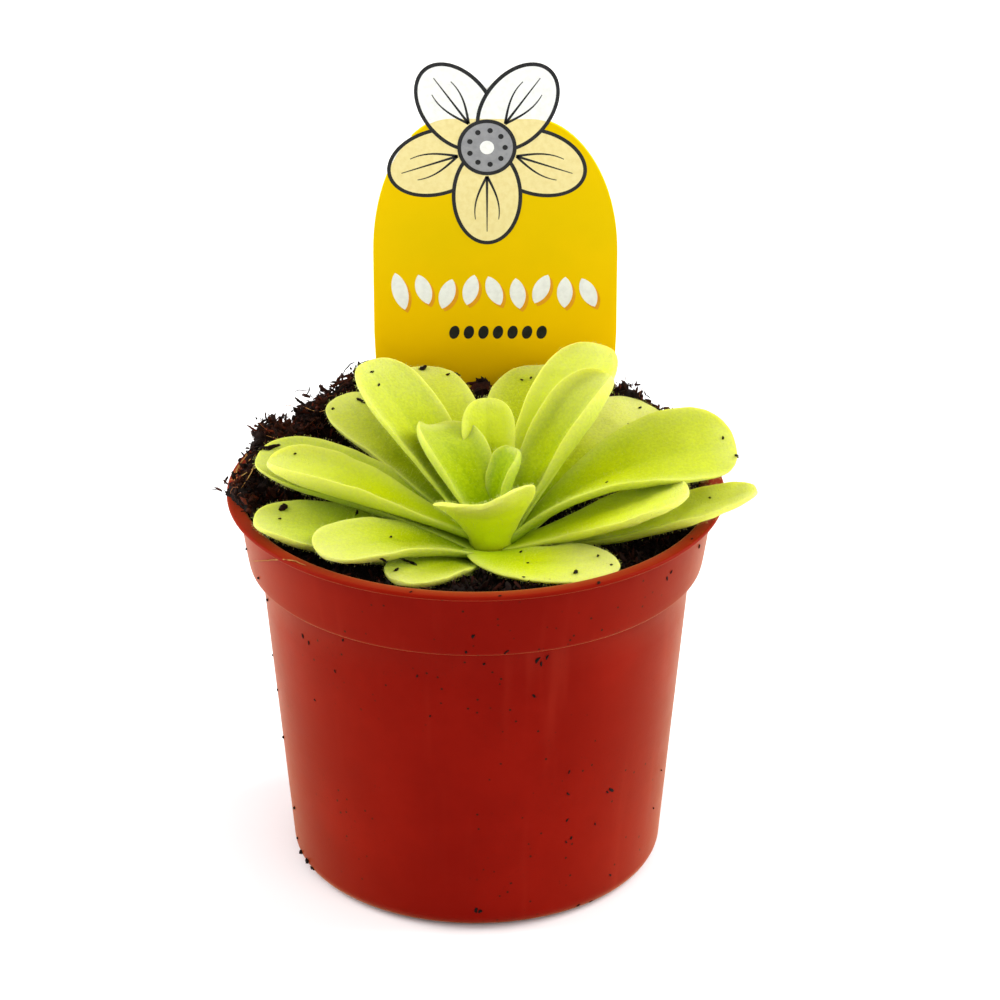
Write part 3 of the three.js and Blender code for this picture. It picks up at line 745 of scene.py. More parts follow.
class BUTTERWORT_OT_pot(bpy.types.Operator):
    """Turns the pot with its rolled lip and band, and drills its drain holes"""

    bl_idname = "butterwort.pot"
    bl_label = "Pot"

    def execute(self, context):
        settings = context.scene.butterwort_pot
        shell = turned_object("pot_shell", pot_profile(), settings.sides)
        places = [polar(DRAIN_CIRCLE, turn + math.pi / DRAIN_HOLES) for turn in circle_turns(DRAIN_HOLES)]
        drill(shell, DRAIN_RADIUS, -1 * MM, 5 * MM, places)
        shell.data.shade_smooth()
        shell.data.set_sharp_from_angle(angle=math.radians(38))
        finish_piece(shell, "pot", pot_plastic(settings))
        return {"FINISHED"}


# ---------------------------------------------------------------- peat
def peat_wall(z):
    """How far out the peat reaches at a height: the pot's inside, less a little."""
    return np.interp(z, WALL_HEIGHTS, WALL_RADII) - 0.2 * MM


def ridge_height(turn):
    angle = (np.degrees(turn) + 90) % 360 - 90
    height = np.full(np.shape(angle), PEAT_RIDGE[0][1], float)
    for (a0, z0), (a1, z1) in zip(PEAT_RIDGE, PEAT_RIDGE[1:]):
        inside = (angle >= a0) & (angle < a1)
        height = np.where(inside, z0 + (z1 - z0) * smoothstep(a0, a1, angle), height)
    return np.where(angle >= PEAT_RIDGE[-1][0], PEAT_RIDGE[-1][1], height) * MM


def peat_height(radius, turn):
    """The heap's top: a basin, a ridge along the pot's wall, and broad lumps that fade out at the wall."""
    degrees = np.degrees(turn) % 360
    basin = between((PEAT_LEVEL, PEAT_FRONT), smoothstep(14 * MM, 40 * MM, radius))
    middle, width, bulge = RIDGE_BULGE
    crest = RIDGE_RADIUS + bulge * bell(degrees, middle, width)
    hump = np.exp(-(((radius - crest) / RIDGE_WIDTH) ** 2) / 2)
    dents = sum(depth * bell(degrees, middle, width) for middle, width, depth in RIDGE_DENTS)
    ridge = ridge_height(turn) - dents
    x, y = radius * np.cos(turn) / MM, radius * np.sin(turn) / MM
    lumps = np.sin(0.31 * x + 1.3) * np.cos(0.27 * y - 0.6) + 0.6 * np.sin(0.55 * x - 0.38 * y + 2.1)
    lumps = (lumps + 0.4 * np.cos(0.83 * y + 0.45 * x)) * (1 - smoothstep(38 * MM, 43 * MM, radius))
    return basin + np.maximum(0, ridge - basin) * hump + 0.8 * MM * lumps


def out_of_place(leaves):
    """Says whether a point of a crumb or fibre is in the pot's wall, or in or over a leaf."""
    def unwanted(at):
        in_pot = at.z < POT_HEIGHT + 0.1 * MM
        if in_pot and math.hypot(at.x, at.y) > peat_wall(at.z) + 0.3 * MM:
            return True
        return leaves.ray_cast(at + UP * 0.3 * MM, -UP, 14 * MM)[0] is not None

    return unwanted


def rim_spill(name):
    """The tongue of peat that lies over the lip on the left."""
    rows, section = 110, 12
    points = []
    for i in range(rows):
        t = i / (rows - 1)
        degrees = between((146, 198), t)
        turn = math.radians(degrees)
        swell = math.sin(math.pi * t) ** 0.6
        # The lip shows between 156 and 179 degrees; past that the tongue covers it.
        edge = 43.3 + 1.9 * bell(degrees, 184, 6) + 1.2 * bell(degrees, 150, 5)
        edge += (0.9 * noise.noise(Vector((degrees * 0.35, 0, 0)))
                 + 0.5 * noise.noise(Vector((degrees * 1.3, 7, 0))))
        outermost = min(45.3, max(41.8, edge - 1.6 * (1 - swell)))
        upper, lower = [], []
        for k in range(section + 1):
            share = k / section
            at = polar(between((40.6, outermost), share) * MM, turn, POT_HEIGHT)
            rough = 0.6 + 0.7 * noise.noise(at * 420)
            arch = max(0.0, 1 - (2 * share - 0.9) ** 2)
            upper.append((at.x, at.y, at.z + (0.1 + 2.1 * swell * arch * rough) * MM))
            lower.append((at.x, at.y, at.z - 0.3 * MM))
        points += upper + lower[-2:0:-1]
    ring = 2 * section
    ends = [tuple(range(ring)), tuple(range((rows - 1) * ring, rows * ring))]
    item = mesh_object(name, points, ring_faces(rows, ring) + ends)
    store(item, "cover", [1.0 if (k % ring) <= section else 0.0 for k in range(len(points))])
    return item


def peat_surface(name, leaves, sides=230, rings=72):
    """The heap as one closed lump, its top broken up by clods; "cover" says where crumbs lie."""
    turns = np.array(circle_turns(sides))
    rows = [[polar(peat_wall(z * MM), a, z * MM) for a in turns] for z in (3.4, 5.2, 30, 59.2, 60.8, 65)]
    cover = [np.zeros(sides)] * len(rows)
    for i in range(rings):
        radius = between((41.3 * MM, 0.6 * MM), (i / (rings - 1)) ** 0.9)
        heights = np.maximum(peat_height(radius, turns), 66.2 * MM)
        row = []
        for a, z in zip(turns, heights):
            at = polar(min(radius, float(peat_wall(z))), a, z)
            clod = noise.fractal(at * 260, 0.6, 2.1, 4) + 0.55 * noise.noise(at * 900)
            at.z += 0.75 * MM * clod * (1 if i else 0.3)
            under = leaves.ray_cast(at - UP * 7 * MM, UP, 7.8 * MM)[0]
            if under is not None:
                at.z = under.z - 0.8 * MM
            row.append(at)
        rows.append(row)
        banked = smoothstep(0, 5 * MM, heights - peat_height(20 * MM, turns))
        cover.append((0.75 + banked) * (1.0 if i > 2 else 0.6))
    heap = ringed_object(name, rows, [(0, 0, rows[0][0][2]), (0, 0, rows[-1][0][2])])
    store(heap, "cover", np.concatenate([*cover, [0, 1]]))
    return heap


def peat_matter(name, dark, light, share):
    """Damp peat, near black, browner where it has dried; tint varies it from crumb to crumb."""
    s = Surface(name, Specular_IOR_Level=0.12)
    grain = s.noise(1500, 4, 0.7)
    dry = s.ramp(s.noise(240, 3, 0.6), 0.45, 0.75)
    drained = s.math("MULTIPLY_ADD", s.climb(67.5 * MM, 75.5 * MM), 0.45, 0.55)
    level = s.times(s.math("ADD", s.math("ADD", grain, dry), s.attribute("tint")), share, drained)
    s.colour(s.blend(s.math("POWER", level, 2.2, clamp=True), dark, light))
    s.rough(s.spread(grain, 0.6, 1.0))
    s.bump(s.noise(3200, 4, 0.75), 0.25 * MM, 0.8)
    return s.material


class BUTTERWORT_OT_peat(bpy.types.Operator):
    """Heaps the peat and strews it with crumbs, chips, clods and root fibres"""

    bl_idname = "butterwort.peat"
    bl_label = "Peat"

    def execute(self, context):
        settings = context.scene.butterwort_peat
        matter = peat_matter("peat_matter", settings.damp, settings.dry, 0.42)
        bark = peat_matter("peat_bark", settings.damp, settings.bark, 0.45)
        strands = peat_matter("peat_fibre", srgb(52, 22, 10), settings.fibre, 0.50)
        leaves = leaf_tree()
        heap, spill = peat_surface("peat_bed", leaves), rim_spill("peat_spill")
        crumbs, fibres = crumb_scatter(), fibre_scatter()
        largest = settings.largest_crumb
        strewn = (  # the copies for each square millimetre, then the scatter's other numbers
            ("crumbs", crumbs, matter, (settings.crumbs, 0.3 * MM, largest, 0.25, 1, 0.7 * MM)),
            ("chips", crumbs, bark, (0.5, 0.9 * MM, 1.5 * largest, 0.74, 1, 1.6 * MM)),
            ("flakes", crumbs, matter, (0.7, 0.7 * MM, 1.2 * largest, 0.6, 1, 2.4 * MM)),
            ("clods", crumbs, matter, (0.06, 1.2 * MM, 1.5 * largest, 0.2, 2, 0.6 * MM)),
            ("fibres", fibres, strands, (settings.fibres, 1.0 * MM, 4.2 * MM, 0.016)),
        )
        for i, (kind, tree, material, numbers) in enumerate(strewn):
            parts = []
            for place, carrier, seed in (("bed_", heap, 11), ("rim_", spill, 41)):
                bits = tree.grow(place + kind, carrier, material, seed + i, *numbers)
                parts.append(weed(bits, out_of_place(leaves)))
            finish_piece(join(f"peat_{kind}", parts))
        finish_piece(spill, material=matter)
        drill(heap, ROOT_HOLE_RADIUS, 46 * MM, 68 * MM, [CROWN])
        finish_piece(heap, "peat", matter)
        return {"FINISHED"}


# ---------------------------------------------------------------- leaves
def leaf_line(leaf, share):
    """The midrib's points, and the across and upward directions there, at shares of its length."""
    def along(t):
        turn = np.radians(leaf.azimuth + leaf.bend * t)
        slope = np.radians(between(leaf.rise, t))
        return np.stack([np.cos(slope) * np.cos(turn), np.cos(slope) * np.sin(turn), np.sin(slope)], -1)

    steps = (np.arange(24) + 0.5) / 24
    start = math.radians(leaf.azimuth)
    base = np.array(CROWN) + [leaf.out * math.cos(start), leaf.out * math.sin(start), leaf.up]
    point = base + along(share[:, None] * steps).sum(1) * (leaf.length * share / 24)[:, None]
    turn = np.radians(leaf.azimuth + leaf.bend * share)
    side = np.stack([-np.sin(turn), np.cos(turn), np.zeros_like(turn)], -1)
    normal = np.cross(along(share), side)
    lean = np.radians(between(leaf.roll, share))[:, None]
    return point, side * np.cos(lean) + normal * np.sin(lean), normal * np.cos(lean) - side * np.sin(lean)


def half_width(leaf, share):
    spread = np.sin(np.minimum(share / WIDEST, 1) * math.pi / 2) ** 1.7
    past = np.maximum(0, (share - WIDEST) / (1 - WIDEST))
    closing = np.maximum(0, 1 - past**TIP_POWER) ** (1 / TIP_POWER)
    return leaf.width / 2 * between((leaf.foot, 1), spread) * closing


def sky_directions(count=18):
    """Directions spread evenly over the upper half of the sky."""
    golden = math.pi * (3 - math.sqrt(5))
    heights = [0.12 + 0.86 * (i + 0.5) / count for i in range(count)]
    return [polar(math.sqrt(1 - up * up), golden * i, up) for i, up in enumerate(heights)]


def painted_occlusion(points, others, reach=24 * MM):
    """How much of the sky the other leaves hide from each point, 0 to 1, which the leaves' material paints as
    shade; every second row is cast.
    """
    sky = sky_directions()
    shares = [[
        sum(others.ray_cast(Vector(p) + way * 0.7 * MM, way, reach)[0] is not None for way in sky) / len(sky)
        for p in row
    ] for row in points[::2]]
    shares = np.repeat(np.array(shares), 2, axis=0)[: len(points)]
    for _ in range(3):
        around = (np.roll(shares, 1, 1) + np.roll(shares, -1, 1)) / 2
        along = (np.vstack([shares[:1], shares[:-1]]) + np.vstack([shares[1:], shares[-1:]])) / 2
        shares = (shares + around + along) / 3
    return shares


def blade(leaf, others, rows=66, across=25):
    """A fleshy blade: rings round its section from base to tip, with a midrib groove and rolled margins."""
    share = 1 - (1 - np.linspace(0, 1, rows + 1)[:-1]) ** 1.7
    point, sideways, upward = leaf_line(leaf, share)
    down_leaf = share[:, None]
    half = half_width(leaf, share)[:, None]
    fold = np.radians(between(leaf.trough, down_leaf))
    body = between((FOOT_THICKNESS, LEAF_THICKNESS), smoothstep(0, 0.4, down_leaf))
    thickness = body * (1 - TIP_THINNING * np.maximum(0, (down_leaf - 0.7) / 0.3) ** 2)
    upper = -np.cos(np.linspace(0, math.pi, across))
    u = np.concatenate([upper, upper[-2:0:-1]])
    face = np.concatenate([np.ones(across), -np.ones(across - 2)])
    swell = np.sqrt(np.maximum(0, 1 - np.abs(u) ** EDGE_POWER))
    grown = smoothstep(0.15, 0.6, down_leaf)
    groove = 0.32 * MM * np.exp(-((u / 0.13) ** 2)) * grown * (1 - 0.8 * down_leaf**3)
    lift = face * (thickness / 2 * swell) - groove * np.where(face > 0, 1, 0.5)
    curled = leaf.curl * half * (np.maximum(0, np.abs(u) - 0.6) / 0.4) ** 2 * grown
    away = (half / fold - lift) * np.sin(fold * u) - 0.6 * curled * np.sign(u)
    height = half * (1 - np.cos(fold * u)) / fold + lift * np.cos(fold * u) + curled
    points = point[:, None] + sideways[:, None] * away[..., None] + upward[:, None] * height[..., None]
    seed = Vector((leaf.azimuth * 0.37, leaf.length * 40, leaf.width * 60))
    wave = np.array([[
        noise.noise(Vector(p) * 190 + seed) + 0.4 * noise.noise(Vector(p) * 520 + seed) for p in row
    ] for row in points])
    points += upward[:, None] * (0.28 * MM * wave * grown * np.minimum(1, half / (3 * MM)))[..., None]
    item = ringed_object("bare_blade", points, (point[0], leaf_line(leaf, np.array([1.0]))[0][0]))
    rim = np.maximum(np.abs(u) ** 4, smoothstep(0.86, 1.0, down_leaf))
    hairy = np.where(face > 0, 0.5 + 1.35 * rim, 0.2 + 1.1 * rim) * smoothstep(0.16, 0.34, down_leaf)
    for name, values, ends in (
        ("along", down_leaf, [0, 1]),
        ("margin", rim, [0, 1]),
        ("across", u, [0, 0]),
        ("pale", leaf.pale * smoothstep(0.45, 1.0, down_leaf), [0, leaf.pale]),
        *((key, value, [value] * 2) for key, value in leaf.shares.items()),
        ("shelter", painted_occlusion(points, others), [1, 0]),
        ("cover", hairy, [0, 1]),
    ):
        store(item, name, np.concatenate([np.broadcast_to(values, (rows, len(u))).ravel(), ends]))
    return item


def leaf_flesh(settings):
    """Succulent leaf: translucent flesh, pale towards its tip, faint long veins and a fine pebbled skin."""
    s = Surface("leaf_flesh", IOR=1.08,
                Subsurface_Weight=0.5, Subsurface_Radius=(1.0, 0.95, 0.04), Subsurface_Scale=2.5 * MM,
                Sheen_Weight=0.03, Sheen_Roughness=0.4, Sheen_Tint=(1, 1, 0.35, 1))
    along, across, margin, shelter, tone, young, lit, pale = (
        s.attribute(n) for n in ("along", "across", "margin", "shelter", "tone", "young", "lit", "pale"))
    vein_place = s.out("ShaderNodeCombineXYZ", {0: s.times(across, 9.0), 1: s.times(along, 1.6)})
    veins = s.noise(1.6, 3.0, 0.5, place=vein_place)
    patchy = s.math("MULTIPLY", pale, s.math("ADD", 0.6, s.times(s.noise(160, 3, 0.6), 0.8)), clamp=True)
    pebbles = s.ramp(s.spots(1900), 0.1, 0.55)
    colour = s.blend(s.ramp(s.noise(85), 0.3, 0.75), settings.fresh, settings.ripe)
    for share, second, most in (
        (young, settings.vein, 1),
        (tone, settings.shaded, 1),
        (s.ramp(veins, 0.5, 0.75), settings.vein, 0.2),
        (s.ramp(s.math("ABSOLUTE", across), 0.16, 0.0), settings.vein, 0.2),
        # Painted shade in part: each leaf turns to the darker vein green towards its foot, its own deeper
        # green there and the shade near the crown.
        (s.ramp(along, 0.55, 0.1), settings.vein, 0.7),
        # Painted light: lit brightens chosen leaves to the glow of light shining through them.
        (lit, settings.lit, 1),
        (patchy, settings.pale, 1),
        (s.times(pale, 0.25, pebbles), settings.margin, 1),
        (margin, settings.margin, 0.5),
        (s.ramp(s.noise(1700, 2, 0.7), 0.36, 0.66), settings.lit, 0.18),
        # Painted shade: greener and darker where the other leaves hide the sky from a point.
        (s.ramp(shelter, 0.45, 0.95), settings.painted_occlusion, 0.6),
    ):
        colour = s.blend(share, colour, second, most)
    s.colour(colour)
    s.rough(s.spread(s.noise(700, 3, 0.6), 0.3, 0.55))
    s.bump(veins, 0.10 * MM, 0.4)
    s.bump(s.spots(1900), 0.10 * MM, 0.6)
    s.bump(s.noise(420, 3, 0.6), 0.15 * MM, 0.5)
    return s.material


def gland_dew(settings):
    """The glue on the gland hairs: clear, with the pale stalk's colour in it."""
    s = Surface("gland_dew", Roughness=0.16, Specular_IOR_Level=0.2, Subsurface_Weight=0.3,
                Subsurface_Radius=(1.0, 1.0, 0.5), Subsurface_Scale=0.3 * MM)
    share = s.math("ADD", s.times(s.attribute("tint"), 0.6), s.times(s.noise(900), 0.4))
    s.colour(s.blend(share, settings.hair, settings.margin))
    return s.material


class BUTTERWORT_OT_leaves(bpy.types.Operator):
    """Grows the rosette's blades, each with its own gland hairs"""

    bl_idname = "butterwort.leaves"
    bl_label = "Leaves"

    def execute(self, context):
        settings = context.scene.butterwort_leaves
        flesh, dew = leaf_flesh(settings), gland_dew(settings)
        hairs = gland_scatter()
        for i, leaf in enumerate(LEAVES):
            bare = blade(leaf, leaf_tree(leaf))
            bare.data.materials.append(flesh)
            hairy = hairs.grow(leaf.name.replace("leaf", "blade"), bare, dew, 100 + i, settings.hairs,
                               settings.hair_length, settings.drop)
            bpy.data.objects.remove(bare)
            finish_piece(hairy, leaf.name)
        return {"FINISHED"}


# ---------------------------------------------------------------- crown and roots
def tube(line, radii, sides):
    """A closed tapering tube along points."""
    rings = []
    for i, (at, radius) in enumerate(zip(line, radii)):
        ahead = (line[min(i + 1, len(line) - 1)] - line[max(i - 1, 0)]).normalized()
        first = ahead.orthogonal().normalized()
        second = ahead.cross(first)
        rings.append([at + (first * math.cos(turn) + second * math.sin(turn)) * radius
                      for turn in circle_turns(sides)])
    return ringed_object("tube", rings, (line[0], line[-1]))


def stem_flesh():
    s = Surface("stem_flesh", Roughness=0.55, Specular_IOR_Level=0.3, Subsurface_Weight=0.3,
                Subsurface_Radius=(1.0, 0.8, 0.2), Subsurface_Scale=1.5 * MM)
    s.colour(s.blend(s.ramp(s.noise(300), 0.4, 0.7), srgb(172, 190, 74), srgb(120, 112, 44)))
    s.bump(s.noise(1200), 0.2 * MM, 0.7)
    return s.material


class BUTTERWORT_OT_crown(bpy.types.Operator):
    """Makes the short stem that the leaves spring from, and the roots under it"""

    bl_idname = "butterwort.crown"
    bl_label = "Crown and Roots"

    def execute(self, context):
        stem = turned_object("stem", [(r * MM, z * MM) for r, z in STEM_SECTION], 36)
        for vertex in stem.data.vertices:
            scar = 1 + 0.06 * noise.noise(vertex.co * 900)
            vertex.co.x *= scar
            vertex.co.y *= scar
        stem.data.transform(Matrix.Translation((CROWN.x, CROWN.y, 0)))
        pieces = [stem]
        spread = 13 * math.sin(math.radians(10))
        for i, turn in enumerate(circle_turns(STUB_ROOTS)):
            shares = [step / 13 for step in range(14)]
            line = []
            for t in shares:
                at = polar((0.8 + spread * t) * MM, turn, (59 - 12.8 * t) * MM, CROWN)
                line.append(at + wander(at * 300 + Vector((i, 0, 0))) * 0.25 * MM * t)
            pieces.append(tube(line, [between((0.68, 0.22), t) * MM for t in shares], 12))
        finish_piece(join("crown_stem", pieces), "crown", stem_flesh())
        return {"FINISHED"}


# ---------------------------------------------------------------- label
def arch_outline():
    """The label's outline above its shoulders, as (x, z) from its own middle, counter-clockwise."""
    half = LABEL_WIDTH / 2
    spring = LABEL_TOP - ARCH_HEIGHT
    points = [(half, SHOULDER), (half, spring)]
    for i in range(1, 48):
        turn = math.pi * i / 48
        flat = ARCH_FLAT_RIGHT if turn < math.pi / 2 else -ARCH_FLAT_LEFT
        points.append((flat + (half - abs(flat)) * math.cos(turn), spring + ARCH_HEIGHT * math.sin(turn)))
    return points + [(-half, spring), (-half, SHOULDER)]


def label_outline():
    """The arch on its stake, which widens towards it in a curve and is pointed at its foot."""
    right = [(0, STAKE_TIP), (STAKE_HALF, STAKE_TIP + 8 * MM), (STAKE_HALF, FLARE[0])]
    for i in range(1, 9):
        t = i / 8
        weights = ((1 - t) ** 2, 2 * t * (1 - t), t * t)
        right.append(tuple(sum(w * v for w, v in zip(weights, values))
                           for values in ((STAKE_HALF, STAKE_HALF, WAIST_HALF), FLARE)))
    return right + arch_outline() + [(-x, z) for x, z in reversed(right[1:])]


def petal_turn(index):
    return math.radians(BLOOM_TURN) + 2 * math.pi * index / PETALS


def petal_outline(index, inset=0.0):
    middle = PETAL_REACH / 2
    edge = [(middle + (middle - inset) * math.cos(a), (PETAL_WIDTH / 2 - inset) * math.sin(a))
            for a in circle_turns(72)]
    return rotated(edge, petal_turn(index), BLOOM)


def ellipse(middle, wide, high, turn=0.0, sides=48):
    return rotated([(wide * math.cos(a), high * math.sin(a)) for a in circle_turns(sides)], turn, middle)


def leaf_shape(middle, length, width, turn, steps=14):
    """A pointed oval."""
    shares = [i / steps * 2 - 1 for i in range(steps)]
    edge = [(side * t * length / 2, -side * width / 2 * (1 - t * t) ** 0.8)
            for side in (1, -1) for t in shares]
    return rotated(edge, turn, middle)


def clipped(polygon, window):
    """The part of a polygon inside a convex counter-clockwise window."""
    for (ax, az), (bx, bz) in zip(window, window[1:] + window[:1]):
        def depth(p):
            return (bx - ax) * (p[1] - az) - (bz - az) * (p[0] - ax)

        kept = []
        for p, q in zip(polygon, polygon[1:] + polygon[:1]):
            if (depth(p) >= 0) != (depth(q) >= 0):
                t = depth(p) / (depth(p) - depth(q))
                kept.append((p[0] + t * (q[0] - p[0]), p[1] + t * (q[1] - p[1])))
            if depth(q) >= 0:
                kept.append(q)
        polygon = kept
    return polygon


class Print:
    """Thin prisms of ink on both faces of the label; each new layer stands a hair above the last."""

    def __init__(self):
        self.points, self.faces, self.inks, self.materials = [], [], [], []

    def lay(self, outline, layer, material):
        """A closed prism from an (x, z) outline, given as from the label's middle."""
        if material not in self.materials:
            self.materials.append(material)
        for outwards in (-1, 1):
            faces = prism_faces(len(outline), len(self.points))
            face = LABEL_Y + outwards * LABEL_THICKNESS / 2
            for depth in (-INK_ROOT, layer * INK_STEP):
                self.points += [(LABEL_X + x, face + outwards * depth, z) for x, z in outline]
            self.faces += faces
            self.inks += [self.materials.index(material)] * len(faces)

    def stroke(self, line, widths, layer, material):
        """A line of ink as thick as widths say at each of its points."""
        left, right = [], []
        for i, (x, z) in enumerate(line):
            (ax, az), (bx, bz) = line[max(i - 1, 0)], line[min(i + 1, len(line) - 1)]
            length = math.hypot(bx - ax, bz - az)
            nx, nz = -(bz - az) / length * widths[i] / 2, (bx - ax) / length * widths[i] / 2
            left.append((x + nx, z + nz))
            right.append((x - nx, z - nz))
        for i in range(len(line) - 1):
            self.lay([left[i], right[i], right[i + 1], left[i + 1]], layer, material)

    def mesh(self, name):
        item = mesh_object(name, self.points, self.faces, smooth=False)
        item.data.polygons.foreach_set("material_index", self.inks)
        for material in self.materials:
            item.data.materials.append(material)
        return item


def plate(outline, thickness, material):
    """A plate of card with its edges broken."""
    points = [(LABEL_X + x, LABEL_Y + side * thickness / 2, z) for side in (-1, 1) for x, z in outline]
    item = mesh_object("plate", points, prism_faces(len(outline)), smooth=False)
    item.data.materials.append(material)
    bevel = item.modifiers.new("edge", "BEVEL")
    bevel.width = 0.12 * MM
    bevel.segments = 2
    bevel.limit_method = "ANGLE"
    bevel.angle_limit = math.radians(50)
    apply_modifiers(item)
    item.data.shade_smooth()
    item.data.set_sharp_from_angle(angle=math.radians(50))
    return item


def card(name, colour, deep):
    """Printed plastic card: even ink with a faint print grain; towards the soil it turns to its deep colour,
    painted light (on the label, a brighter and warmer glow).
    """
    s = Surface(name, IOR=1.08)
    # Painted light: towards the soil the card turns to its deep colour, on the label a brighter, warmer glow.
    tone = s.blend(s.climb(112 * MM, 82 * MM), colour, deep)
    tone = s.blend(s.ramp(s.noise(45), 0.45, 0.75), tone, deep, 0.2)
    s.colour(s.blend(s.ramp(s.noise(5200, 1), 0.4, 0.65), tone, srgb(238, 204, 20), 0.08))
    s.rough(s.spread(s.noise(600, 2), 0.32, 0.46))
    s.bump(s.noise(900, 2), 0.01 * MM, 0.4)
    return s.material


def ink(name, colour, second):
    s = Surface(name, Specular_IOR_Level=0.25)
    s.colour(s.blend(s.ramp(s.noise(900), 0.35, 0.7), colour, second))
    s.rough(s.spread(s.noise(1500, 2), 0.34, 0.5))
    return s.material


class BUTTERWORT_OT_label(bpy.types.Operator):
    """Cuts the plant label and prints its flower, its row of leaves and its row of drops"""

    bl_idname = "butterwort.label"
    bl_label = "Plant Label"

    def execute(self, context):
        settings = context.scene.butterwort_label
        board = card("label_card", settings.card, settings.card_foot_glow)
        paper = card("label_petal_card", srgb(244, 244, 240), srgb(232, 232, 230))
        pieces = [plate(label_outline(), LABEL_THICKNESS, board)]
        pieces += [plate(petal_outline(i), LABEL_THICKNESS - 0.06 * MM, paper) for i in range(PETALS)]
        finish_piece(join("label_plate", pieces), "label")

        self.black = ink("label_ink", settings.ink, srgb(34, 34, 38))
        self.white = ink("label_white", srgb(246, 246, 244), srgb(236, 236, 234))
        sheet = Print()
        self.print_flower(sheet)
        self.print_rows(sheet)
        finish_piece(sheet.mesh("label_print"))
        return {"FINISHED"}

    def print_flower(self, sheet):
        cream = ink("label_cream", srgb(238, 222, 158), srgb(232, 214, 146))
        grey = ink("label_grey", srgb(150, 150, 154), srgb(138, 138, 143))
        for order, i in enumerate((2, 4, 3, 1, 0)):
            low = 1 + 3 * order
            inside = petal_outline(i, 0.75 * MM)
            sheet.lay(petal_outline(i, 0.05 * MM), low, self.black)
            sheet.lay(inside, low + 1, self.white)
            tinted = clipped(inside, arch_outline())
            if tinted:
                sheet.lay(tinted, low + 2, cream)
            for spread in (-0.34, 0.0, 0.34):
                reach = (5.6, 16.4 - 7 * abs(spread))
                vein = [(between(reach, t) * MM, spread * math.sin(t * 1.9) * 6.6 * MM) for t in VEIN_SHARES]
                widths = [between((0.5, 0.16), t) * MM for t in VEIN_SHARES]
                sheet.stroke(rotated(vein, petal_turn(i), BLOOM), widths, low + 2.6, self.black)
        sheet.lay(ellipse(BLOOM, 5.4 * MM, 5.4 * MM), 17, self.black)
        sheet.lay(ellipse(BLOOM, 4.7 * MM, 4.7 * MM), 18, grey)
        for dot in ellipse(BLOOM, 3.3 * MM, 3.3 * MM, sides=9):
            sheet.lay(ellipse(dot, 0.5 * MM, 0.5 * MM, sides=16), 19, self.black)
        sheet.lay(ellipse(BLOOM, 1.3 * MM, 1.3 * MM, sides=24), 19, self.white)

    def print_rows(self, sheet):
        shade = ink("label_shade", srgb(232, 160, 24), srgb(226, 150, 18))
        for i in range(9):
            x, z = (-17.6 + i * 4.35) * MM, (98.2 + 0.5 * math.sin(i * 2.3)) * MM
            turn = math.radians(90 + 24 * math.sin(i * 1.7 + 0.6))
            size = (6.2 if i else 7.6) * MM
            sheet.lay(leaf_shape((x + 0.5 * MM, z - 0.6 * MM), size, 3.0 * MM, turn), 1, shade)
            sheet.lay(leaf_shape((x, z), size, 2.9 * MM, turn), 2, self.white)
        for i in range(7):
            drop = ((-7.6 + i * 2.7) * MM, 90.0 * MM)
            sheet.lay(ellipse(drop, 0.95 * MM, 1.35 * MM, math.radians(-14), 24), 1, self.black)


# ---------------------------------------------------------------- stray bits
def sight(x, y):
    """The way from the camera through point (x, y) of its frame."""
    c, d = math.cos(CAMERA_TILT), math.sin(CAMERA_TILT)
    across, down = (x - FRAME / 2) / FOCAL, (y - FRAME / 2) / FOCAL
    return Vector((across, -down * c + d, -down * d - c))


def seen_at(x, y, pieces):
    """Where a line of sight through point (x, y) of the camera's frame first meets one of the pieces.

    A point just off a piece's edge is moved towards the frame's middle until it is on the piece.
    """
    for _ in range(16):
        hits = [tree.ray_cast(CAMERA_AT, sight(x, y).normalized()) for tree in pieces]
        hits = [hit for hit in hits if hit[0] is not None]
        if hits:
            return min(hits, key=lambda hit: hit[3])[:2]
        x += math.copysign(1, FRAME / 2 - x)
    raise RuntimeError(f"nothing stands at ({x}, {y}) of the frame")


def seen_in(x, y, depth):
    """Where the line of sight through point (x, y) of the frame passes a plane across the view."""
    ray = sight(x, y)
    return CAMERA_AT + ray * ((depth - CAMERA_AT.y) / ray.y)


def scrap(at, normal, sizes, turn, seed):
    """A flake or crumb lying on a surface; its length, width and thickness are in millimetres."""
    length, width, thick = (size * MM for size in sizes)
    first = normal.orthogonal().normalized()
    second = normal.cross(first)
    one = first * math.cos(turn) + second * math.sin(turn)
    two = normal.cross(one)
    mesh = bpy.data.meshes.new("scrap")
    with editing(mesh) as work:
        bmesh.ops.create_icosphere(work, subdivisions=2, radius=0.5)
        for vertex in work.verts:
            jag = 1 + 0.75 * noise.noise(vertex.co * 3.1 + Vector((seed * 1.7, seed, 0)))
            x, y, z = vertex.co * jag
            bow = 0.5 * length * x * x
            aside, lift = y * width + bow * 0.6, z * thick + thick * 0.3
            vertex.co = at + one * x * length + two * aside + normal * lift
    return placed("scrap", mesh)


def strand(line, radius):
    """A bent fibre through points, thin at both ends."""
    bent = []
    for start, end in zip(line, line[1:]):
        for k in range(3):
            at = start.lerp(end, k / 3)
            bent.append(at + wander(at * 900) * radius * 0.8)
    bent.append(line[-1])
    ends = len(bent) - 1
    radii = [radius * (0.35 + 0.65 * math.sin(math.pi * i / ends) ** 0.5) for i in range(ends + 1)]
    return tube(bent, radii, 6)


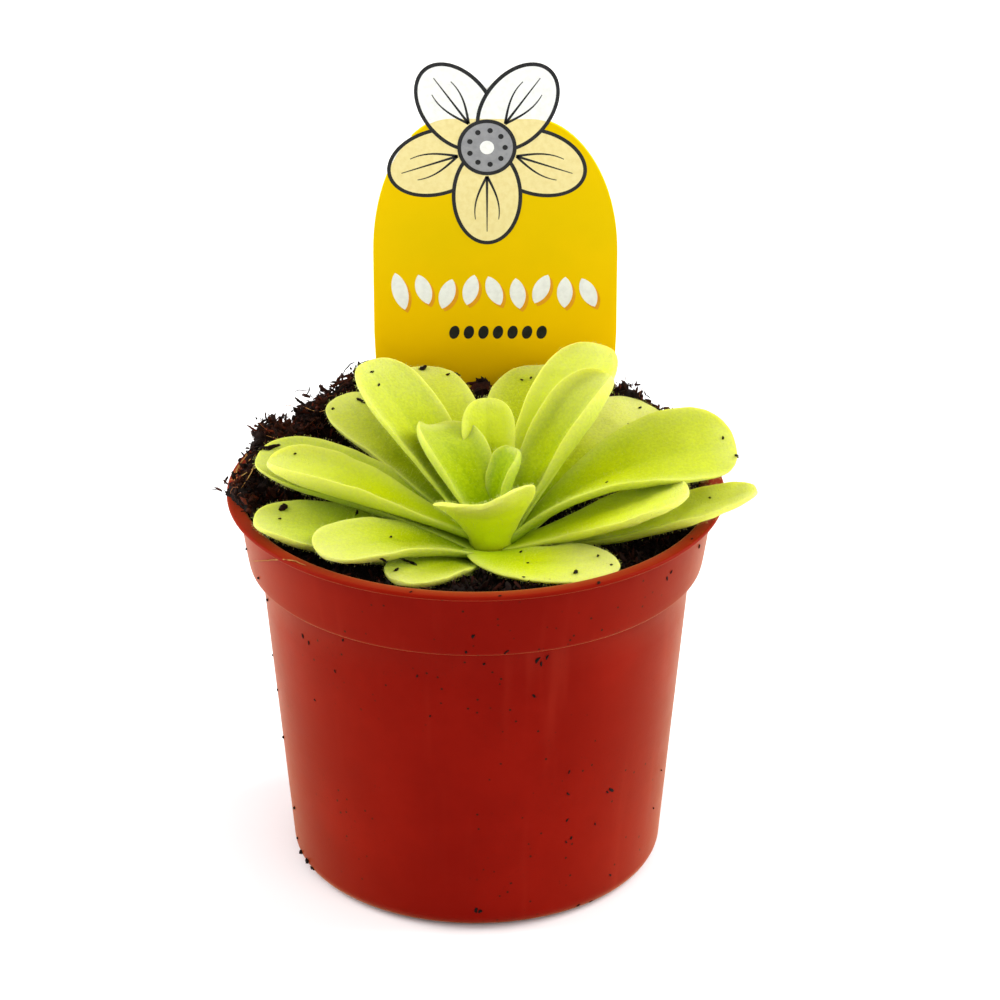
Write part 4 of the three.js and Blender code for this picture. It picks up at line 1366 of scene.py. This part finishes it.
class BUTTERWORT_OT_litter(bpy.types.Operator):
    """Drops crumbs, flakes and fibres of peat on the leaves, the rim and the pot's side"""

    bl_idname = "butterwort.litter"
    bl_label = "Stray Peat"

    def execute(self, context):
        settings = context.scene.butterwort_peat
        matter = peat_matter("litter_matter", settings.damp, settings.bark, 0.35)
        pale = peat_matter("root_matter", srgb(150, 90, 40), settings.root, 1.0)
        leaves, pot = [leaf_tree()], [tree_of(bpy.data.objects["pot_shell"])]
        peat = [tree_of(bpy.data.objects[name]) for name in ("peat_bed", "peat_spill")]
        for name, bits, seed, find in (
            ("leaf_litter", LEAF_LITTER, 0, lambda x, y: seen_at(x, y, leaves)),
            ("pot_litter", POT_LITTER, 0, lambda x, y: seen_at(x, y, pot)),
            ("label_clod", CLOD, 90, lambda x, y: (seen_in(x, y, LABEL_Y - CLOD_AHEAD), TO_FRONT)),
        ):
            scraps = [scrap(*find(x, y), sizes, math.radians(turn), seed + i)
                      for i, (x, y, *sizes, turn) in enumerate(bits)]
            finish_piece(join(name, scraps), material=matter)
        carriers = {"leaves": (leaves, 0.3 * MM), "pot": (pot, 0.12 * MM), "peat": (peat, 1.1 * MM)}
        for name, lines, material in (
            ("stray_strands", STRANDS, matter), ("root_strands", ROOT_STRANDS, pale)
        ):
            strands = []
            for line, radius, where in lines:
                if where in carriers:
                    found, lift = carriers[where]
                    line = [at + normal * lift for at, normal in (seen_at(x, y, found) for x, y in line)]
                else:
                    line = [seen_in(x, y, where * MM) for x, y in line]
                strands.append(strand(line, radius * MM))
            finish_piece(join(name, strands), material=material)
        return {"FINISHED"}


# ---------------------------------------------------------------- stage
def lamp(name, kind, power, away):
    """A light that shines from a direction, given as a vector towards it."""
    light = bpy.data.lights.new(name, kind)
    light.energy = power
    item = placed(name, light)
    item.rotation_euler = away.to_track_quat("Z", "Y").to_euler()
    return item


class BUTTERWORT_OT_stage(bpy.types.Operator):
    """Lays the floor and sets the soft lights and the camera"""

    bl_idname = "butterwort.stage"
    bl_label = "Stage"

    def execute(self, context):
        settings = context.scene.butterwort_stage
        scene = context.scene
        corners = [(x * FLOOR_HALF, y * FLOOR_HALF, FLOOR_LEVEL)
                   for x, y in ((-1, -1), (1, -1), (1, 1), (-1, 1))]
        floor = mesh_object("floor", corners, [(0, 1, 2, 3)], smooth=False, closed=False)
        paper = Surface("floor_paper", Roughness=0.9, Specular_IOR_Level=0.1)
        paper.colour(paper.blend(paper.noise(4, 2), settings.floor, srgb(250, 250, 250)))
        floor.data.materials.append(paper.material)

        world = bpy.data.worlds.new("studio")
        world.use_nodes = True
        sky = world.node_tree.nodes["Background"].inputs
        sky["Color"].default_value = (1, 1, 1, 1)
        sky["Strength"].default_value = settings.fill
        scene.world = world
        # Degrees counter-clockwise from the front, above the floor, and of the light's spread.
        for name, turn, height, spread, power in (
            ("key", 110, 60, 70, settings.key), ("front", 25, 35, 60, settings.front)
        ):
            height = math.radians(height)
            away = polar(math.cos(height), math.radians(turn - 90), math.sin(height))
            lamp(name, "SUN", power, away).data.angle = math.radians(spread)
        for name, x, y in (("left_box", -0.75, 0.12), ("right_box", 0.75, 0.16)):
            at = Vector((x, y, 0.35))
            box = lamp(name, "AREA", settings.sides, at - UP * 0.06)
            box.location = at
            box.data.shape = "RECTANGLE"
            box.data.size, box.data.size_y = 0.5, 0.9

        view = bpy.data.cameras.new("view")
        view.sensor_width = 36
        view.lens = view.sensor_width * FOCAL / FRAME
        view.clip_start, view.clip_end = 0.05, 20
        camera = placed("view", view)
        camera.location = CAMERA_AT
        camera.rotation_euler = (CAMERA_TILT, 0, 0)
        scene.camera = camera
        scene.view_settings.view_transform = "Standard"
        return {"FINISHED"}


# ---------------------------------------------------------------- settings and panel
def colour_property(name, description, *colour):
    """A colour whose default is given as red, green and blue, 0 to 255."""
    return FloatVectorProperty(name=name, description=description, subtype="COLOR", size=4, min=0, max=1,
                               default=srgb(*colour))


def length_property(name, description, value):
    return FloatProperty(name=name, description=description, subtype="DISTANCE", unit="LENGTH",
                         min=0, precision=5, default=value)


def number_property(name, description, value, unit="NONE"):
    return FloatProperty(name=name, description=description, unit=unit, min=0, default=value)


class ButterwortPot(bpy.types.PropertyGroup):
    sides: IntProperty(name="Sides", description="Facets round the pot", min=48, max=256, default=160)
    plastic: colour_property("Plastic", "Colour of the pot's plastic", 118, 8, 2)
    worn: colour_property("Worn Plastic", "Colour where the plastic is rubbed or dusty", 128, 13, 4)
    # Painted light: the lip's colour stands for light shining through the thin plastic.
    lip: colour_property("Lip", "Colour of the thin lip, where light comes through", 128, 21, 4)


class ButterwortPeat(bpy.types.PropertyGroup):
    damp: colour_property("Damp Peat", "Colour of the wet peat", 8, 3, 1)
    dry: colour_property("Dry Peat", "Colour of crumbs that have dried", 72, 30, 12)
    bark: colour_property("Bark", "Colour of the chips of bark and stalk", 112, 42, 14)
    fibre: colour_property("Fibre", "Colour of the root fibres", 172, 104, 60)
    root: colour_property("Root", "Colour of the pale roots over the heap and the rim", 226, 178, 100)
    crumbs: number_property("Crumbs", "Crumbs for each square millimetre", 0.95)
    fibres: number_property("Fibres", "Fibres for each square millimetre", 0.14)
    largest_crumb: length_property("Largest Crumb", "Length of the largest crumb", 2.4 * MM)


class ButterwortLeaves(bpy.types.PropertyGroup):
    fresh: colour_property("Fresh Green", "Main colour of the leaves", 162, 177, 0)
    ripe: colour_property("Ripe Green", "Second colour, in broad soft patches", 171, 183, 0)
    shaded: colour_property("Shaded Green", "Colour of the leaves that grow in shade", 150, 155, 16)
    # Painted shade: the green that stands for the shade the other leaves cast deep in the rosette.
    painted_occlusion: colour_property("Sheltered Green", "Colour deep among the leaves", 134, 168, 0)
    # Also painted shade in part, where it darkens every leaf's foot near the crown.
    vein: colour_property("Vein", "Colour of the veins, the midrib, the young leaves and every leaf's foot",
                          136, 165, 0)
    # Painted light: the glow of light shining through a leaf, painted as colour.
    lit: colour_property("Lit Green", "Colour of the leaves the light shines through", 226, 238, 24)
    pale: colour_property("Pale Green", "Colour towards the tips", 197, 199, 108)
    margin: colour_property("Margin", "Colour of the leaf's edge", 205, 208, 124)
    hair: colour_property("Hair", "Colour of the gland hairs", 196, 204, 60)
    hairs: number_property("Hairs", "Gland hairs for each square millimetre", 2.6)
    hair_length: length_property("Hair Length", "Mean length of a gland hair", 0.38 * MM)
    drop: length_property("Drop", "Width of the drop on a gland hair", 0.085 * MM)


class ButterwortLabel(bpy.types.PropertyGroup):
    card: colour_property("Card", "Colour of the label", 222, 187, 0)
    # Painted light: the brighter, warmer glow of the label near the soil.
    card_foot_glow: colour_property("Card, Low", "Colour of the label near the soil", 255, 200, 0)
    ink: colour_property("Ink", "Colour of the print's outlines", 20, 20, 22)


class ButterwortStage(bpy.types.PropertyGroup):
    floor: colour_property("Floor", "Colour of the floor", 252, 252, 252)
    fill: number_property("Fill", "Strength of the light from all round", 0.58)
    key: number_property("Key", "Strength of the light from behind on the right", 0.6)
    front: number_property("Front", "Strength of the light from the front", 0.88)
    sides: number_property("Side Boxes", "Power of the soft boxes on both sides", 9.0, "POWER")


OPERATORS = (
    BUTTERWORT_OT_pot, BUTTERWORT_OT_peat, BUTTERWORT_OT_leaves, BUTTERWORT_OT_crown, BUTTERWORT_OT_label,
    BUTTERWORT_OT_litter, BUTTERWORT_OT_stage,
)
SETTINGS = {
    "butterwort_pot": ButterwortPot, "butterwort_peat": ButterwortPeat, "butterwort_leaves": ButterwortLeaves,
    "butterwort_label": ButterwortLabel, "butterwort_stage": ButterwortStage,
}


class BUTTERWORT_PT_panel(bpy.types.Panel):
    """The pieces of the potted butterwort, in the order in which they are made"""

    bl_idname = "BUTTERWORT_PT_panel"
    bl_label = "Potted Butterwort"
    bl_space_type = "VIEW_3D"
    bl_region_type = "UI"
    bl_category = "Butterwort"

    def draw(self, context):
        for operator in OPERATORS:
            self.layout.operator(operator.bl_idname)
        for name, group in SETTINGS.items():
            box = self.layout.box()
            for key in group.__annotations__:
                box.prop(getattr(context.scene, name), key)


def register():
    for kind in (*SETTINGS.values(), *OPERATORS, BUTTERWORT_PT_panel):
        bpy.utils.register_class(kind)
    for name, group in SETTINGS.items():
        setattr(bpy.types.Scene, name, PointerProperty(type=group))


def unregister():
    for name in SETTINGS:
        delattr(bpy.types.Scene, name)
    for kind in (BUTTERWORT_PT_panel, *reversed(OPERATORS), *reversed(SETTINGS.values())):
        bpy.utils.unregister_class(kind)


def main():
    register()
    bpy.ops.butterwort.pot()
    bpy.ops.butterwort.peat()
    bpy.ops.butterwort.leaves()
    bpy.ops.butterwort.crown()
    bpy.ops.butterwort.label()
    bpy.ops.butterwort.litter()
    bpy.ops.butterwort.stage()


if __name__ == "__main__":
    main()
